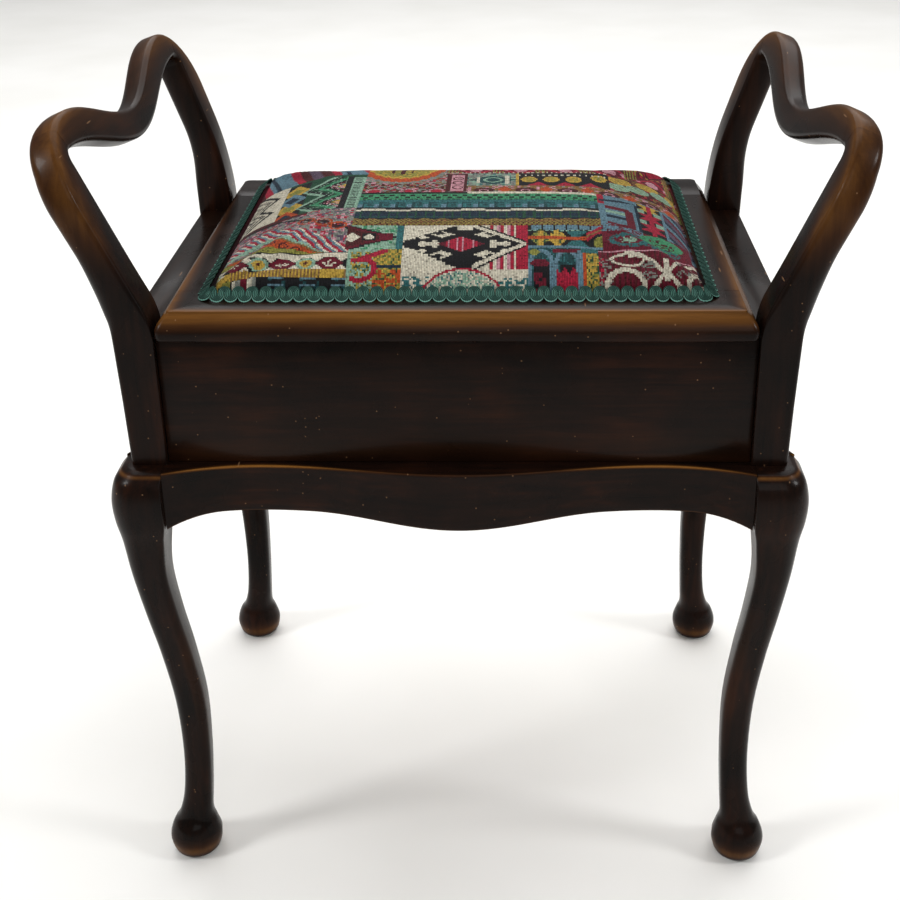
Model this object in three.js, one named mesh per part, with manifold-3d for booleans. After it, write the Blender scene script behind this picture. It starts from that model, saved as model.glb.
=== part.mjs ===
// Piano stool: a music box on a cabriole-legged stand, two arm loops and a padded lid
// that lifts on two butt hinges at the back. Millimetres, +Z up, -Y to the front, +X to the
// right as seen from the front. The origin is on the floor, midway between the four feet.

import * as THREE from 'three';
import { mergeVertices } from 'three/addons/utils/BufferGeometryUtils.js';
import Module from 'manifold-3d';

const wasm = await Module();
wasm.setup();

// ---- Clearances ---------------------------------------------------------------------

const JOINT_GAP = 0.3;        // between two wooden pieces that meet
const LID_REST_GAP = 0.4;     // between the closed lid and the box it rests on
const RUNNING_GAP = 0.09;     // hinge pin to knuckle bore
const SCREW_GAP = 0.2;        // screw to the hole that holds it

// ---- Stand --------------------------------------------------------------------------

const HALF_WIDTH = 241.5;     // outer face of the corner posts from the middle, sideways
const HALF_DEPTH = 164;       // outer face of the corner posts from the middle, front to back
const STAND_TOP = 371;        // height of the leg blocks and aprons
const FOOT_OUT_X = 13;        // centre of each foot outboard of the posts' inner faces, sideways
const FOOT_OUT_Y = 22;        // the same, front to back
const FOOT_R = 21.5;          // pad foot at its widest
const BLOCK_INSET = 11;       // leg block's inner faces, inboard of the foot centre
const KNEE_REACH = 30;        // how far the knee swells past the foot centre
const KNEE_H = 60;            // knee, below the stand's top
const ANKLE_Z = 60;           // height of the ankle above the floor
const APRON_T = 19;           // apron thickness at its hollows
const APRON_HOLLOW_H = 39;    // apron height at its hollows
const APRON_SWELL = 15;       // how far the middle stands forward of the hollows
const APRON_FLARE = 14;       // how far the ends stand forward of the hollows
const APRON_DROP = 9;         // how far the middle hangs below the hollows
const APRON_END_DROP = 9;     // how far the ends hang below the hollows
const APRON_ARRIS = 1.2;      // chamfer on the apron's top edge
const FRONT_FLARE_LEN = 71;   // length of the flare at each end of a long apron
const FRONT_ROUND_LEN = 42;   // length of the rounded lower corner of a long apron
const SIDE_FLARE_LEN = 50;    // the same two lengths on a short apron
const SIDE_ROUND_LEN = 34;
const FRONT_DROP_IN = 107;    // ends of a long apron's dropped middle, inboard of its own ends
const SIDE_DROP_IN = 73;      // the same on a short apron
const CORNER_BLOCK = 46;      // glue block, along each apron
const CORNER_BLOCK_H = 30;

// ---- Box ----------------------------------------------------------------------------

const BOX_H = 99;             // panels and the ledges beside the lid, above the stand
const POST_W = 26.5;          // corner post, sideways
const POST_D = 30;            // corner post, front to back
const PANEL_T = 16;
const POST_PROUD = 5;         // posts stand forward of the panels
const END_T = 30;             // solid end boards, whose tops are the ledges
const BOTTOM_T = 8;           // bottom board
const REBATE = 8;             // how far the bottom board is let into the walls

// ---- Arm loops ----------------------------------------------------------------------

const ARM_RISE_FRONT = 153;   // crest of the arm rail at its front shoulder, above the box
const ARM_RISE_BACK = 164;    // crest of the arm rail at its back shoulder, above the box
const ARM_DIP = 28;           // how far the middle of the rail dips below its mean crest
const RAIL_H = 22;            // rail, across its flat inner face
const RAIL_T = 22;            // rail, square to its flat inner face, in the middle
const ARM_T = 24.5;           // arm thickness at the shoulders, square to the inner face
const POST_FLARE = 3.5;       // how much thicker a post is level with the lid than at its foot
const SHOULDER_R = 55;        // outer corner of the loop
const INNER_CORNER_R = 8;     // inner corner of the loop
const JOINT_TURN = 63;        // degrees round the shoulder where the post meets the rail
const LEAN_FRONT = 0.46;      // outward lean of the front posts, run over rise
const LEAN_BACK = 0.33;       // outward lean of the back posts
const LEAN_EASE_FRONT = 24;   // height over which the front posts' lean sets in
const LEAN_EASE_BACK = 84;    // height over which the back posts' lean sets in
const DOWEL_R = 3;
const DOWEL_LEN = 16;

// ---- Lid and seat -------------------------------------------------------------------

const LID_T = 21;
const LID_SIDE_GAP = 1.5;     // between the lid and the posts
const LID_OVERHANG = 8.5;     // front edge past the front panel
const LID_RAIL_W = 48;        // width of the four frame rails
const LID_BOARD_T = 12;
const SEAT_MARGIN = 24.5;     // bare lid around the seat, at the sides and front
const SEAT_MARGIN_BACK = 12;  // bare lid behind the seat
const BRAID_W = 11;
const BRAID_T = 2.4;
const BRAID_LIFT = 7.5;       // height to which the braid climbs the foot of the pad
const BRAID_PAD_GAP = 1;      // between the braid and the foot of the pad
const SEAT_CROWN = 34;        // height of the pad above the lid
const SEAT_CORNER_R = 4;

// ---- Hinges and screws --------------------------------------------------------------

const HINGE_IN = 81.5;        // middle of each hinge, inboard of the lid's side
const HINGE_LEN = 50;
const LEAF_T = 1.8;
const LEAF_W = 13;            // leaf, from its barrel side to its inner edge
const PIN_R = 1.5;
const BARREL_R = 3.2;
const LEAF_SCREW_X = 14;      // the two screws of a leaf, each side of its middle
const LEAF_SCREW = { headR: 2.9, shankR: 1.5, length: 13 };
const STAND_SCREW = { headR: 4.2, shankR: 2.2, length: 34 };

// ---- Sizes that follow from the ones above ------------------------------------------

const POST_OUT_X = HALF_WIDTH;
const POST_OUT_Y = HALF_DEPTH;
const POST_IN_X = POST_OUT_X - POST_W;
const POST_IN_Y = POST_OUT_Y - POST_D;
const FOOT_X = POST_IN_X + FOOT_OUT_X;
const FOOT_Y = POST_IN_Y + FOOT_OUT_Y;
const BLOCK_X = FOOT_X - BLOCK_INSET;
const BLOCK_Y = FOOT_Y - BLOCK_INSET;
const FRONT_DROP_HALF = BLOCK_X - FRONT_DROP_IN;
const SIDE_DROP_HALF = BLOCK_Y - SIDE_DROP_IN;
const BOX_TOP = STAND_TOP + BOX_H;
const ARM_TOP_FRONT = BOX_TOP + ARM_RISE_FRONT;
const ARM_TOP_BACK = BOX_TOP + ARM_RISE_BACK;
const PANEL_Y = POST_OUT_Y - POST_PROUD;
const END_IN_X = POST_OUT_X - END_T;
const LID_X = POST_IN_X - LID_SIDE_GAP;
const LID_FRONT = -(PANEL_Y + LID_OVERHANG);
const LID_BACK = PANEL_Y;
const LID_Z = BOX_TOP + LID_REST_GAP;
const LID_TOP = LID_Z + LID_T;
const HINGE_X = LID_X - HINGE_IN;
const HINGE_Y = PANEL_Y + BARREL_R + 0.1;
const HINGE_Z = BOX_TOP + LID_REST_GAP / 2;
const SEAT_X = LID_X - SEAT_MARGIN;
const SEAT_FRONT = LID_FRONT + SEAT_MARGIN;
const SEAT_BACK = LID_BACK - SEAT_MARGIN_BACK;

// ---- Finishes -----------------------------------------------------------------------

const finish = (color, roughness, metalness = 0) => new THREE.MeshStandardMaterial({ color, roughness, metalness });
const mahogany = () => finish(0x2a1710, 0.32);
const paleWood = () => finish(0x8a6a44, 0.7);
const tapestry = () => finish(0x5f4a46, 0.95);
const braid = () => finish(0x1d5548, 0.9);
const brass = () => finish(0xb08d4a, 0.35, 1);

// ---- Solids -------------------------------------------------------------------------

/** A closed mesh as a manifold solid, turned the right way out. */
function toSolid(geometry) {
  const bare = new THREE.BufferGeometry();
  bare.setAttribute('position', geometry.getAttribute('position'));
  bare.setIndex(geometry.getIndex());
  const merged = mergeVertices(bare, 1e-4);
  const vertProperties = new Float32Array(merged.getAttribute('position').array);
  const triVerts = new Uint32Array(merged.getIndex().array);
  if (signedVolume(vertProperties, triVerts) < 0) triVerts.reverse();
  return new wasm.Manifold(new wasm.Mesh({ numProp: 3, vertProperties, triVerts }));
}

/** Volume inside a triangle mesh: negative when its faces point inward. */
function signedVolume(vertices, triangles) {
  const corner = (i) => new THREE.Vector3().fromArray(vertices, 3 * triangles[i]);
  let sum = 0;
  for (let i = 0; i < triangles.length; i += 3) {
    sum += corner(i).dot(corner(i + 1).cross(corner(i + 2)));
  }
  return sum / 6;
}

/** A manifold solid back as a geometry for a mesh. */
function toGeometry(solid) {
  const { vertProperties, triVerts, numProp } = solid.getMesh();
  const geometry = new THREE.BufferGeometry();
  const positions = new Float32Array((vertProperties.length / numProp) * 3);
  for (let i = 0; i < positions.length / 3; i += 1) {
    positions.set(vertProperties.subarray(i * numProp, i * numProp + 3), 3 * i);
  }
  geometry.setAttribute('position', new THREE.BufferAttribute(positions, 3));
  geometry.setIndex(new THREE.BufferAttribute(new Uint32Array(triVerts), 1));
  geometry.computeVertexNormals();
  return geometry;
}

/** Box between two corners. */
function block([x0, y0, z0], [x1, y1, z1]) {
  const box = new THREE.BoxGeometry(Math.abs(x1 - x0), Math.abs(y1 - y0), Math.abs(z1 - z0));
  return toSolid(box.translate((x0 + x1) / 2, (y0 + y1) / 2, (z0 + z1) / 2));
}

/** Plan outline, given as [x, y] points, raised from z0 to z1. */
function prism(outline, z0, z1) {
  const shape = new THREE.Shape(outline.map(([x, y]) => new THREE.Vector2(x, y)));
  const raised = new THREE.ExtrudeGeometry(shape, { depth: z1 - z0, bevelEnabled: false });
  return toSolid(raised.translate(0, 0, z0));
}

/** Round bar of radius r and the given length, centred on a point and lying along X, Y or Z. */
function bar(r, length, axis, [x, y, z], sides = 16) {
  const rod = new THREE.CylinderGeometry(r, r, length, sides);
  if (axis === 'x') rod.rotateZ(Math.PI / 2);
  if (axis === 'z') rod.rotateX(Math.PI / 2);
  return toSolid(rod.translate(x, y, z));
}

/** Skin through a row of rings with equal point counts, closed by a fan at each end. */
function loft(rings) {
  const n = rings[0].length;
  const points = rings.flat();
  const middle = (ring) => ring.reduce((sum, p) => sum.add(p), new THREE.Vector3()).divideScalar(n);
  const first = points.push(middle(rings[0])) - 1;
  const last = points.push(middle(rings.at(-1))) - 1;
  const index = [];
  for (let k = 0; k < n; k += 1) {
    const next = (k + 1) % n;
    for (let r = 0; r < rings.length - 1; r += 1) {
      const [a, b, c, d] = [r * n + k, r * n + next, (r + 1) * n + next, (r + 1) * n + k];
      index.push(a, b, c, a, c, d);
    }
    const top = (rings.length - 1) * n;
    index.push(first, next, k, last, top + k, top + next);
  }
  const geometry = new THREE.BufferGeometry().setFromPoints(points);
  geometry.setIndex(index);
  return toSolid(geometry);
}

/**
 * Rectangle from [u0, v0] to [u1, v1] with its own radius at each corner, as [u, v] points.
 * The corners run round from (u0, v0) by (u1, v0) and (u1, v1) to (u0, v1).
 */
function roundedSection([u0, v0], [u1, v1], radii, steps) {
  const corners = [[u0, v0, 1, 1, 180], [u1, v0, -1, 1, 270], [u1, v1, -1, -1, 0], [u0, v1, 1, -1, 90]];
  return corners.flatMap(([u, v, su, sv, from], i) => {
    const r = radii[i];
    return Array.from({ length: steps[i] + 1 }, (_, k) => {
      const turn = THREE.MathUtils.degToRad(from + (90 * k) / steps[i]);
      return [u + su * r + r * Math.cos(turn), v + sv * r + r * Math.sin(turn)];
    });
  });
}

// ---- Stand --------------------------------------------------------------------------

/** Height at a share of the way from the ankle to the knee. */
const shankZ = (share) => ANKLE_Z + share * (STAND_TOP - KNEE_H - ANKLE_Z);

/**
 * Heights down a cabriole leg, with the reach of its inner and outer faces from the foot
 * centre, and the roundness of its outer and its other corners as shares of the half width.
 */
const LEG_STATIONS = [
  { z: STAND_TOP, inner: -BLOCK_INSET, outer: KNEE_REACH - 13, round: 0.95, soft: 0.05 },
  { z: STAND_TOP - 3, inner: -BLOCK_INSET, outer: KNEE_REACH - 8, round: 0.95, soft: 0.05 },
  { z: STAND_TOP - 10, inner: -BLOCK_INSET, outer: KNEE_REACH - 3, round: 0.95, soft: 0.05 },
  { z: STAND_TOP - 25, inner: -BLOCK_INSET, outer: KNEE_REACH, round: 0.95, soft: 0.05 },
  { z: STAND_TOP - 42, inner: -BLOCK_INSET, outer: KNEE_REACH - 1, round: 0.9, soft: 0.08 },
  { z: STAND_TOP - KNEE_H, inner: -8, outer: 25.5, round: 0.85, soft: 0.2 },
  { z: shankZ(0.876), inner: -6, outer: 22, round: 0.8, soft: 0.35 },
  { z: shankZ(0.717), inner: -9.5, outer: 16.5, round: 0.75, soft: 0.45 },
  { z: shankZ(0.558), inner: -14.5, outer: 10.5, round: 0.7, soft: 0.5 },
  { z: shankZ(0.359), inner: -19, outer: 5.2, round: 0.7, soft: 0.55 },
  { z: shankZ(0.159), inner: -18.5, outer: 4, round: 0.75, soft: 0.6 },
  { z: ANKLE_Z, inner: -16.5, outer: 6.7, round: 0.85, soft: 0.7 },
  { z: 38, inner: -15.5, outer: 12, round: 0.95, soft: 0.9 },
  { z: 28, inner: -18.5, outer: 18, round: 1, soft: 1 },
  { z: 16, inner: -FOOT_R, outer: FOOT_R, round: 1, soft: 1 },
  { z: 5, inner: -FOOT_R + 2, outer: FOOT_R - 2, round: 1, soft: 1 },
  { z: 0, inner: -FOOT_R + 7, outer: FOOT_R - 7, round: 1, soft: 1 },
];
const RINGS_PER_STATION = 1.5;

/** One leg: sx and sy are -1 or 1 and say which corner it stands at. */
function leg(sx, sy) {
  const line = (key) => new THREE.SplineCurve(LEG_STATIONS.map((s) => new THREE.Vector2(s.z, s[key])));
  const [inner, outer, round, soft] = ['inner', 'outer', 'round', 'soft'].map(line);
  const count = Math.round((LEG_STATIONS.length - 1) * RINGS_PER_STATION);
  const rings = Array.from({ length: count + 1 }, (_, k) => {
    const t = k / count;
    const z = inner.getPoint(t).x;
    const [a, b] = [inner.getPoint(t).y, outer.getPoint(t).y];
    const half = (b - a) / 2;
    const outerR = half * Math.min(1, round.getPoint(t).y);
    const sideR = half * Math.min(1, Math.max(0.03, soft.getPoint(t).y));
    const ring = roundedSection([a, a], [b, b], [sideR, sideR, outerR, sideR], [1, 2, 4, 2]);
    return ring.map(([u, v]) => new THREE.Vector3(sx * (FOOT_X + u), sy * (FOOT_Y + v), z));
  });
  return loft(rings);
}

/** Forward swell of an apron at a distance from its middle. */
function apronSwell(distance, half, flareLen) {
  const hollow = half - flareLen;
  if (distance > hollow) return APRON_FLARE * ((distance - hollow) / flareLen) ** 2;
  return APRON_SWELL * (0.5 + 0.5 * Math.cos((Math.PI * distance) / hollow));
}

/** Drop of an apron's lower edge at a distance from its middle. */
function apronDrop(distance, half, roundLen, dropHalf) {
  const start = half - roundLen;
  if (distance > start) return APRON_END_DROP * ((distance - start) / roundLen) ** 2;
  if (distance > dropHalf) return 0;
  return APRON_DROP * (0.5 + 0.5 * Math.cos((Math.PI * distance) / dropHalf));
}

/** Apron along X, centred on the origin, with its inner face on y = 0 and its swell to -Y. */
function apron(half, flareLen, roundLen, dropHalf) {
  const steps = 36;
  const end = half - JOINT_GAP;
  const rings = Array.from({ length: steps + 1 }, (_, k) => {
    const x = -end + (2 * end * k) / steps;
    const front = -(APRON_T + apronSwell(Math.abs(x), half, flareLen));
    const low = STAND_TOP - APRON_HOLLOW_H - apronDrop(Math.abs(x), half, roundLen, dropHalf);
    return [
      new THREE.Vector3(x, 0, STAND_TOP),
      new THREE.Vector3(x, front + APRON_ARRIS, STAND_TOP),
      new THREE.Vector3(x, front, STAND_TOP - APRON_ARRIS),
      new THREE.Vector3(x, front, low),
      new THREE.Vector3(x, 0, low),
    ];
  });
  return loft(rings);
}

/** Screw along Z with its head at the given height and its tip up (dir 1) or down (dir -1). */
function screw({ headR, shankR, length }, [x, y, z], dir, grow = 0) {
  const sink = headR - shankR;
  const profile = [
    [0, -grow], [headR + grow, -grow], [shankR + grow, sink],
    [shankR + grow, length * 0.6], [grow + shankR * 0.35, length + grow], [0, length + grow],
  ];
  const turned = new THREE.LatheGeometry(profile.map(([r, h]) => new THREE.Vector2(r, h)), 12);
  turned.rotateX(dir > 0 ? Math.PI / 2 : -Math.PI / 2);
  return toSolid(turned.translate(x, y, z));
}

/** A screw with the slot cut across its head. */
function slottedScrew(size, [x, y, z], dir) {
  const slotDepth = size.headR * 0.25;
  const slot = block([x - size.headR, y - 0.4, z - dir], [x + size.headR, y + 0.4, z + dir * slotDepth]);
  return screw(size, [x, y, z], dir).subtract(slot);
}

/** Triangular glue block in the inside corner of the stand at (sx, sy). */
function cornerBlock(sx, sy) {
  const [x, y] = [sx * (BLOCK_X - JOINT_GAP), sy * (BLOCK_Y - JOINT_GAP)];
  const outline = [[x, y], [x - sx * CORNER_BLOCK, y], [x, y - sy * CORNER_BLOCK]];
  return prism(outline, STAND_TOP - CORNER_BLOCK_H, STAND_TOP);
}

/** Head position of the screw that goes up through a corner block into the bottom board. */
function standScrewPlace(sx, sy) {
  const inset = JOINT_GAP + CORNER_BLOCK * 0.3;
  return [sx * (BLOCK_X - inset), sy * (BLOCK_Y - inset), STAND_TOP - CORNER_BLOCK_H + 0.2];
}

// ---- Box ----------------------------------------------------------------------------

const FLOOR_Z = STAND_TOP + JOINT_GAP;
const BOTTOM_TOP = FLOOR_Z + BOTTOM_T;

/** Long panel at the front (side -1) or the back (side 1), rebated for the bottom board. */
function longPanel(side) {
  const end = POST_IN_X - JOINT_GAP;
  const wall = block([-end, side * PANEL_Y, FLOOR_Z], [end, side * (PANEL_Y - PANEL_T), BOX_TOP]);
  const rebateY = side * (PANEL_Y - PANEL_T + REBATE);
  const rebate = block([-end - 1, rebateY, 0], [end + 1, 0, BOTTOM_TOP + JOINT_GAP]);
  return wall.subtract(rebate);
}

/** Solid end board of the box: its flat top is the ledge beside the lid. */
function endBoard(side) {
  const end = POST_IN_Y - JOINT_GAP;
  const wall = block([side * POST_OUT_X, -end, FLOOR_Z], [side * END_IN_X, end, BOX_TOP]);
  const rebateX = side * (END_IN_X + REBATE);
  return wall.subtract(block([rebateX, -end - 1, 0], [0, end + 1, BOTTOM_TOP + JOINT_GAP]));
}

/** Bottom board, notched round the four corner posts. */
function bottomBoard() {
  const x = END_IN_X + REBATE - JOINT_GAP;
  const y = PANEL_Y - PANEL_T + REBATE - JOINT_GAP;
  const board = block([-x, -y, FLOOR_Z], [x, y, BOTTOM_TOP]);
  const notches = CORNERS.map(([sx, sy]) => block(
    [sx * (POST_IN_X - JOINT_GAP), sy * (POST_IN_Y - JOINT_GAP), 0],
    [sx * (x + 1), sy * (y + 1), BOX_TOP],
  ));
  return notches.reduce((rest, notch) => rest.subtract(notch), board);
}

// ---- Arm loops ----------------------------------------------------------------------

/**
 * Lean of an arm at a point: its outward shift and its slope there, run over rise.
 * The lean grows from the back posts to the front ones.
 */
function lean(y, z) {
  const toBack = (POST_OUT_Y + y) / (2 * POST_OUT_Y);
  const full = THREE.MathUtils.lerp(LEAN_FRONT, LEAN_BACK, toBack);
  const ease = THREE.MathUtils.lerp(LEAN_EASE_FRONT, LEAN_EASE_BACK, toBack);
  const rise = Math.max(0, z - BOX_TOP);
  if (rise < ease) return { shift: (full * rise ** 2) / (2 * ease), slope: (full * rise) / ease };
  return { shift: full * (rise - ease / 2), slope: full };
}

/** Point of an arm whose inner face is at (y, z), the given distance out from that face. */
function armPoint(side, y, z, out) {
  const { shift, slope } = lean(y, z);
  const tilt = Math.atan(slope);
  return [side * (POST_IN_X + shift + out * Math.cos(tilt)), y, z - out * Math.sin(tilt)];
}

/** Thickness of an arm: it flares up to the lid, thins above it and again along the rail. */
function armThickness(y, z) {
  const flared = POST_W + POST_FLARE * THREE.MathUtils.smoothstep(z, STAND_TOP, LID_TOP);
  const loop = THREE.MathUtils.lerp(RAIL_T, ARM_T, (y / POST_OUT_Y) ** 2);
  return THREE.MathUtils.lerp(flared, loop, THREE.MathUtils.smoothstep(z, LID_TOP, LID_TOP + 60));
}

/** Section across an arm between its inner and outer outline points, for end side -1 or 1. */
function armSection(side, [yIn, zIn], [yOut, zOut], roundness) {
  const thickness = armThickness((yIn + yOut) / 2, (zIn + zOut) / 2);
  const width = Math.hypot(yOut - yIn, zOut - zIn);
  const outerR = THREE.MathUtils.lerp(3.5, Math.min(thickness, width) * 0.46, roundness);
  const innerR = THREE.MathUtils.lerp(1.2, 4, roundness);
  const radii = [innerR, innerR, outerR, outerR];
  const ring = roundedSection([0, 0], [width, thickness], radii, [1, 1, 3, 3]);
  return ring.map(([along, out]) => {
    const y = yIn + ((yOut - yIn) * along) / width;
    const z = zIn + ((zOut - zIn) * along) / width;
    return new THREE.Vector3(...armPoint(side, y, z, out));
  });
}

/** Inner and outer outline points of a shoulder at a turn from upright (0) to level (90). */
function shoulderOutline(end, degrees) {
  const turn = THREE.MathUtils.degToRad(degrees);
  const top = end < 0 ? ARM_TOP_FRONT : ARM_TOP_BACK;
  const at = (y, z, r) => [end * (y + r * Math.cos(turn)), z + r * Math.sin(turn)];
  return [
    at(POST_IN_Y - INNER_CORNER_R, top - RAIL_H - INNER_CORNER_R, INNER_CORNER_R),
    at(POST_OUT_Y - SHOULDER_R, top - SHOULDER_R, SHOULDER_R),
  ];
}

/** One arm post with its half of the shoulder: end is -1 at the front and 1 at the back. */
function armPost(side, end) {
  const [[, innerZ], [, outerZ]] = shoulderOutline(end, 0);
  const uprightSteps = 12;
  const turnSteps = 5;
  const rings = [FLOOR_Z, (FLOOR_Z + BOX_TOP) / 2].map((z) => (
    armSection(side, [end * POST_IN_Y, z], [end * POST_OUT_Y, z], 0)
  ));
  for (let k = 0; k < uprightSteps; k += 1) {
    const t = k / uprightSteps;
    const zIn = THREE.MathUtils.lerp(BOX_TOP, innerZ, t);
    const zOut = THREE.MathUtils.lerp(BOX_TOP, outerZ, t);
    const roundness = THREE.MathUtils.smoothstep(t, 0, 0.45);
    rings.push(armSection(side, [end * POST_IN_Y, zIn], [end * POST_OUT_Y, zOut], roundness));
  }
  for (let k = 0; k <= turnSteps; k += 1) {
    const [inner, outer] = shoulderOutline(end, (JOINT_TURN * k) / turnSteps);
    rings.push(armSection(side, inner, outer, 1));
  }
  return loft(rings);
}

/** Top rail of an arm loop: two half shoulders and the dipped hand rest between them. */
function armRail(side) {
  const turnSteps = 3;
  const dipSteps = 20;
  const crest = POST_OUT_Y - SHOULDER_R;
  const innerCrest = POST_IN_Y - INNER_CORNER_R;
  const shoulder = (end) => Array.from({ length: turnSteps }, (_, k) => {
    const turn = JOINT_TURN + ((90 - JOINT_TURN) * k) / turnSteps;
    const [[yIn, zIn], [yOut, zOut]] = shoulderOutline(end, turn);
    const shift = k === 0 ? end * JOINT_GAP : 0;
    return armSection(side, [yIn - shift, zIn], [yOut - shift, zOut], 1);
  });
  const hand = Array.from({ length: dipSteps + 1 }, (_, k) => {
    const share = -1 + (2 * k) / dipSteps;
    const dip = ARM_DIP * (0.5 + 0.5 * Math.cos(Math.PI * share));
    const z = THREE.MathUtils.lerp(ARM_TOP_FRONT, ARM_TOP_BACK, (1 + share) / 2) - dip;
    return armSection(side, [share * innerCrest, z - RAIL_H], [share * crest, z], 1);
  });
  return loft([...shoulder(-1), ...hand, ...shoulder(1).reverse()]);
}

/** Middle of the dowel across the shoulder joint at the front (end -1) or back (end 1). */
function dowelPlace(side, end) {
  const [[yIn, zIn], [yOut, zOut]] = shoulderOutline(end, JOINT_TURN);
  return armPoint(side, (yIn + yOut) / 2, (zIn + zOut) / 2, ARM_T / 2);
}

// ---- Lid and seat -------------------------------------------------------------------

/** Edge moulding of the lid, as [inset from the widest line, height] from the bottom up. */
const LID_EDGE = [
  [2.5, 0], [0.7, 1.2], [0, 3.4], [0, 7], [1, 10.5], [3.2, 14], [6.2, 17.4], [8.2, 19.2], [8.6, LID_T],
];
const LID_CORNER_R = 5;

/** Rounded rectangle in plan with the moulding's inset on every side but the back. */
function lidRing(inset, height) {
  const r = Math.max(1, LID_CORNER_R - inset * 0.3);
  const low = [-(LID_X - inset), LID_FRONT + inset];
  const high = [LID_X - inset, LID_BACK];
  const ring = roundedSection(low, high, [r, r, LID_CORNER_R, LID_CORNER_R], [4, 4, 4, 4]);
  return ring.map(([x, y]) => new THREE.Vector3(x, y, LID_Z + height));
}

/** The whole lid frame in one, with the window for the board cut out. */
function lidFrame() {
  const blank = loft(LID_EDGE.map(([inset, height]) => lidRing(inset, height)));
  const [x, y0, y1] = [LID_X - LID_RAIL_W, LID_FRONT + LID_RAIL_W, LID_BACK - LID_RAIL_W];
  return blank.subtract(block([-x, y0, 0], [x, y1, LID_TOP + 1]));
}

/** The part of the lid frame between two corners in plan. */
function lidRail(frame, [x0, y0], [x1, y1]) {
  return frame.intersect(block([x0, y0, 0], [x1, y1, LID_TOP + 1]));
}

/** Rounded rectangle around the seat, outset from the foot of the pad. */
function seatRing(outset, z, steps = 4) {
  const foot = BRAID_W + JOINT_GAP - outset;
  const low = [-(SEAT_X - foot), SEAT_FRONT + foot];
  const high = [SEAT_X - foot, SEAT_BACK - foot];
  const r = Math.max(4, SEAT_CORNER_R + outset);
  const ring = roundedSection(low, high, [r, r, r, r], [steps, steps, steps, steps]);
  return ring.map(([x, y]) => new THREE.Vector3(x, y, z));
}

/** Crowned pad, as [outset from its foot, share of the crown height] up its side. */
const PAD_PROFILE = [[0, 0], [0.5, 0.16], [-3, 0.34], [-11, 0.56], [-27, 0.76], [-52, 0.9], [-84, 0.97], [-118, 1]];

/** The seat pad, standing on the lid. */
function seatPad() {
  const base = LID_TOP + JOINT_GAP;
  return loft(PAD_PROFILE.map(([outset, share]) => seatRing(outset, base + SEAT_CROWN * share, 5)));
}

/** The braid: a band that leans up from the lid against the foot of the pad. */
function braidBand() {
  const base = LID_TOP + JOINT_GAP;
  const rim = BRAID_W + JOINT_GAP;
  const top = base + BRAID_LIFT;
  const band = loft([
    seatRing(rim, base),
    seatRing(rim, base + BRAID_T / 2),
    seatRing(BRAID_PAD_GAP + BRAID_T, top),
  ]);
  const under = loft([
    seatRing(rim - BRAID_T, base - 1),
    seatRing(rim - BRAID_T, base),
    seatRing(BRAID_PAD_GAP, top - BRAID_T),
    seatRing(BRAID_PAD_GAP, top + 1),
  ]);
  return band.subtract(under);
}

// ---- Hinges -------------------------------------------------------------------------

/** Leaf of one hinge: dir -1 is the fixed leaf below the joint, 1 the moving leaf above. */
function hingeLeaf(x, dir) {
  const knuckle = HINGE_LEN / 3;
  const endGap = JOINT_GAP / 2;
  const face = HINGE_Z + dir * (LID_REST_GAP / 2);
  const plate = block(
    [x - HINGE_LEN / 2, HINGE_Y - BARREL_R * 0.5, face],
    [x + HINGE_LEN / 2, PANEL_Y - LEAF_W, face + dir * LEAF_T],
  );
  const whole = bar(BARREL_R, HINGE_LEN, 'x', [x, HINGE_Y, HINGE_Z]);
  const middle = [x - knuckle / 2, x + knuckle / 2];
  const reach = 2 * BARREL_R;
  const centre = block(
    [middle[0] - dir * -endGap, HINGE_Y - reach * 0.9, HINGE_Z - reach],
    [middle[1] + dir * -endGap, HINGE_Y + reach, HINGE_Z + reach],
  );
  const knuckles = dir > 0 ? whole.intersect(centre) : whole.subtract(centre);
  const roundBarrel = bar(BARREL_R + RUNNING_GAP * 2, HINGE_LEN + 2, 'x', [x, HINGE_Y, HINGE_Z]);
  const keepClear = dir > 0 ? roundBarrel.subtract(centre) : roundBarrel.intersect(centre);
  const bore = bar(PIN_R + RUNNING_GAP, HINGE_LEN + 2, 'x', [x, HINGE_Y, HINGE_Z]);
  return plate.subtract(keepClear).add(knuckles).subtract(bore);
}

/** Recess for a hinge leaf and its barrel in the panel (dir -1) or the lid rail (dir 1). */
function hingeRecess(x, dir) {
  const half = HINGE_LEN / 2 + JOINT_GAP;
  const face = HINGE_Z + dir * (LID_REST_GAP / 2);
  return block(
    [x - half, PANEL_Y + 1, face - dir],
    [x + half, PANEL_Y - LEAF_W - JOINT_GAP, face + dir * (LEAF_T + JOINT_GAP)],
  );
}

/** Places of the screw heads of one leaf, flush with the leaf's face at the joint. */
function leafScrewPlaces(x, dir) {
  const face = HINGE_Z + dir * (LID_REST_GAP / 2 + 0.1);
  const y = PANEL_Y - LEAF_W * 0.5;
  return [-1, 1].map((s) => [x + s * LEAF_SCREW_X, y, face]);
}

// ---- Assembly -----------------------------------------------------------------------

const CORNERS = [[-1, -1], [1, -1], [-1, 1], [1, 1]];
const SIDES = [['left', -1], ['right', 1]];
const cornerName = ([sx, sy]) => `${sy < 0 ? 'front' : 'back'}_${sx < 0 ? 'left' : 'right'}`;

const stool = new THREE.Group();
const stand = new THREE.Group();
const box = new THREE.Group();
const arms = new THREE.Group();
const lid = new THREE.Group();
stool.add(stand, box, arms, lid);

/** Adds a named mesh to a group and returns it. */
function add(group, name, solid, material) {
  const mesh = new THREE.Mesh(toGeometry(solid), material);
  mesh.name = name;
  group.add(mesh);
  return mesh;
}

/** Cuts a row of solids out of a solid. */
const cutAll = (solid, cuts) => cuts.reduce((rest, cut) => rest.subtract(cut), solid);

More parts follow.
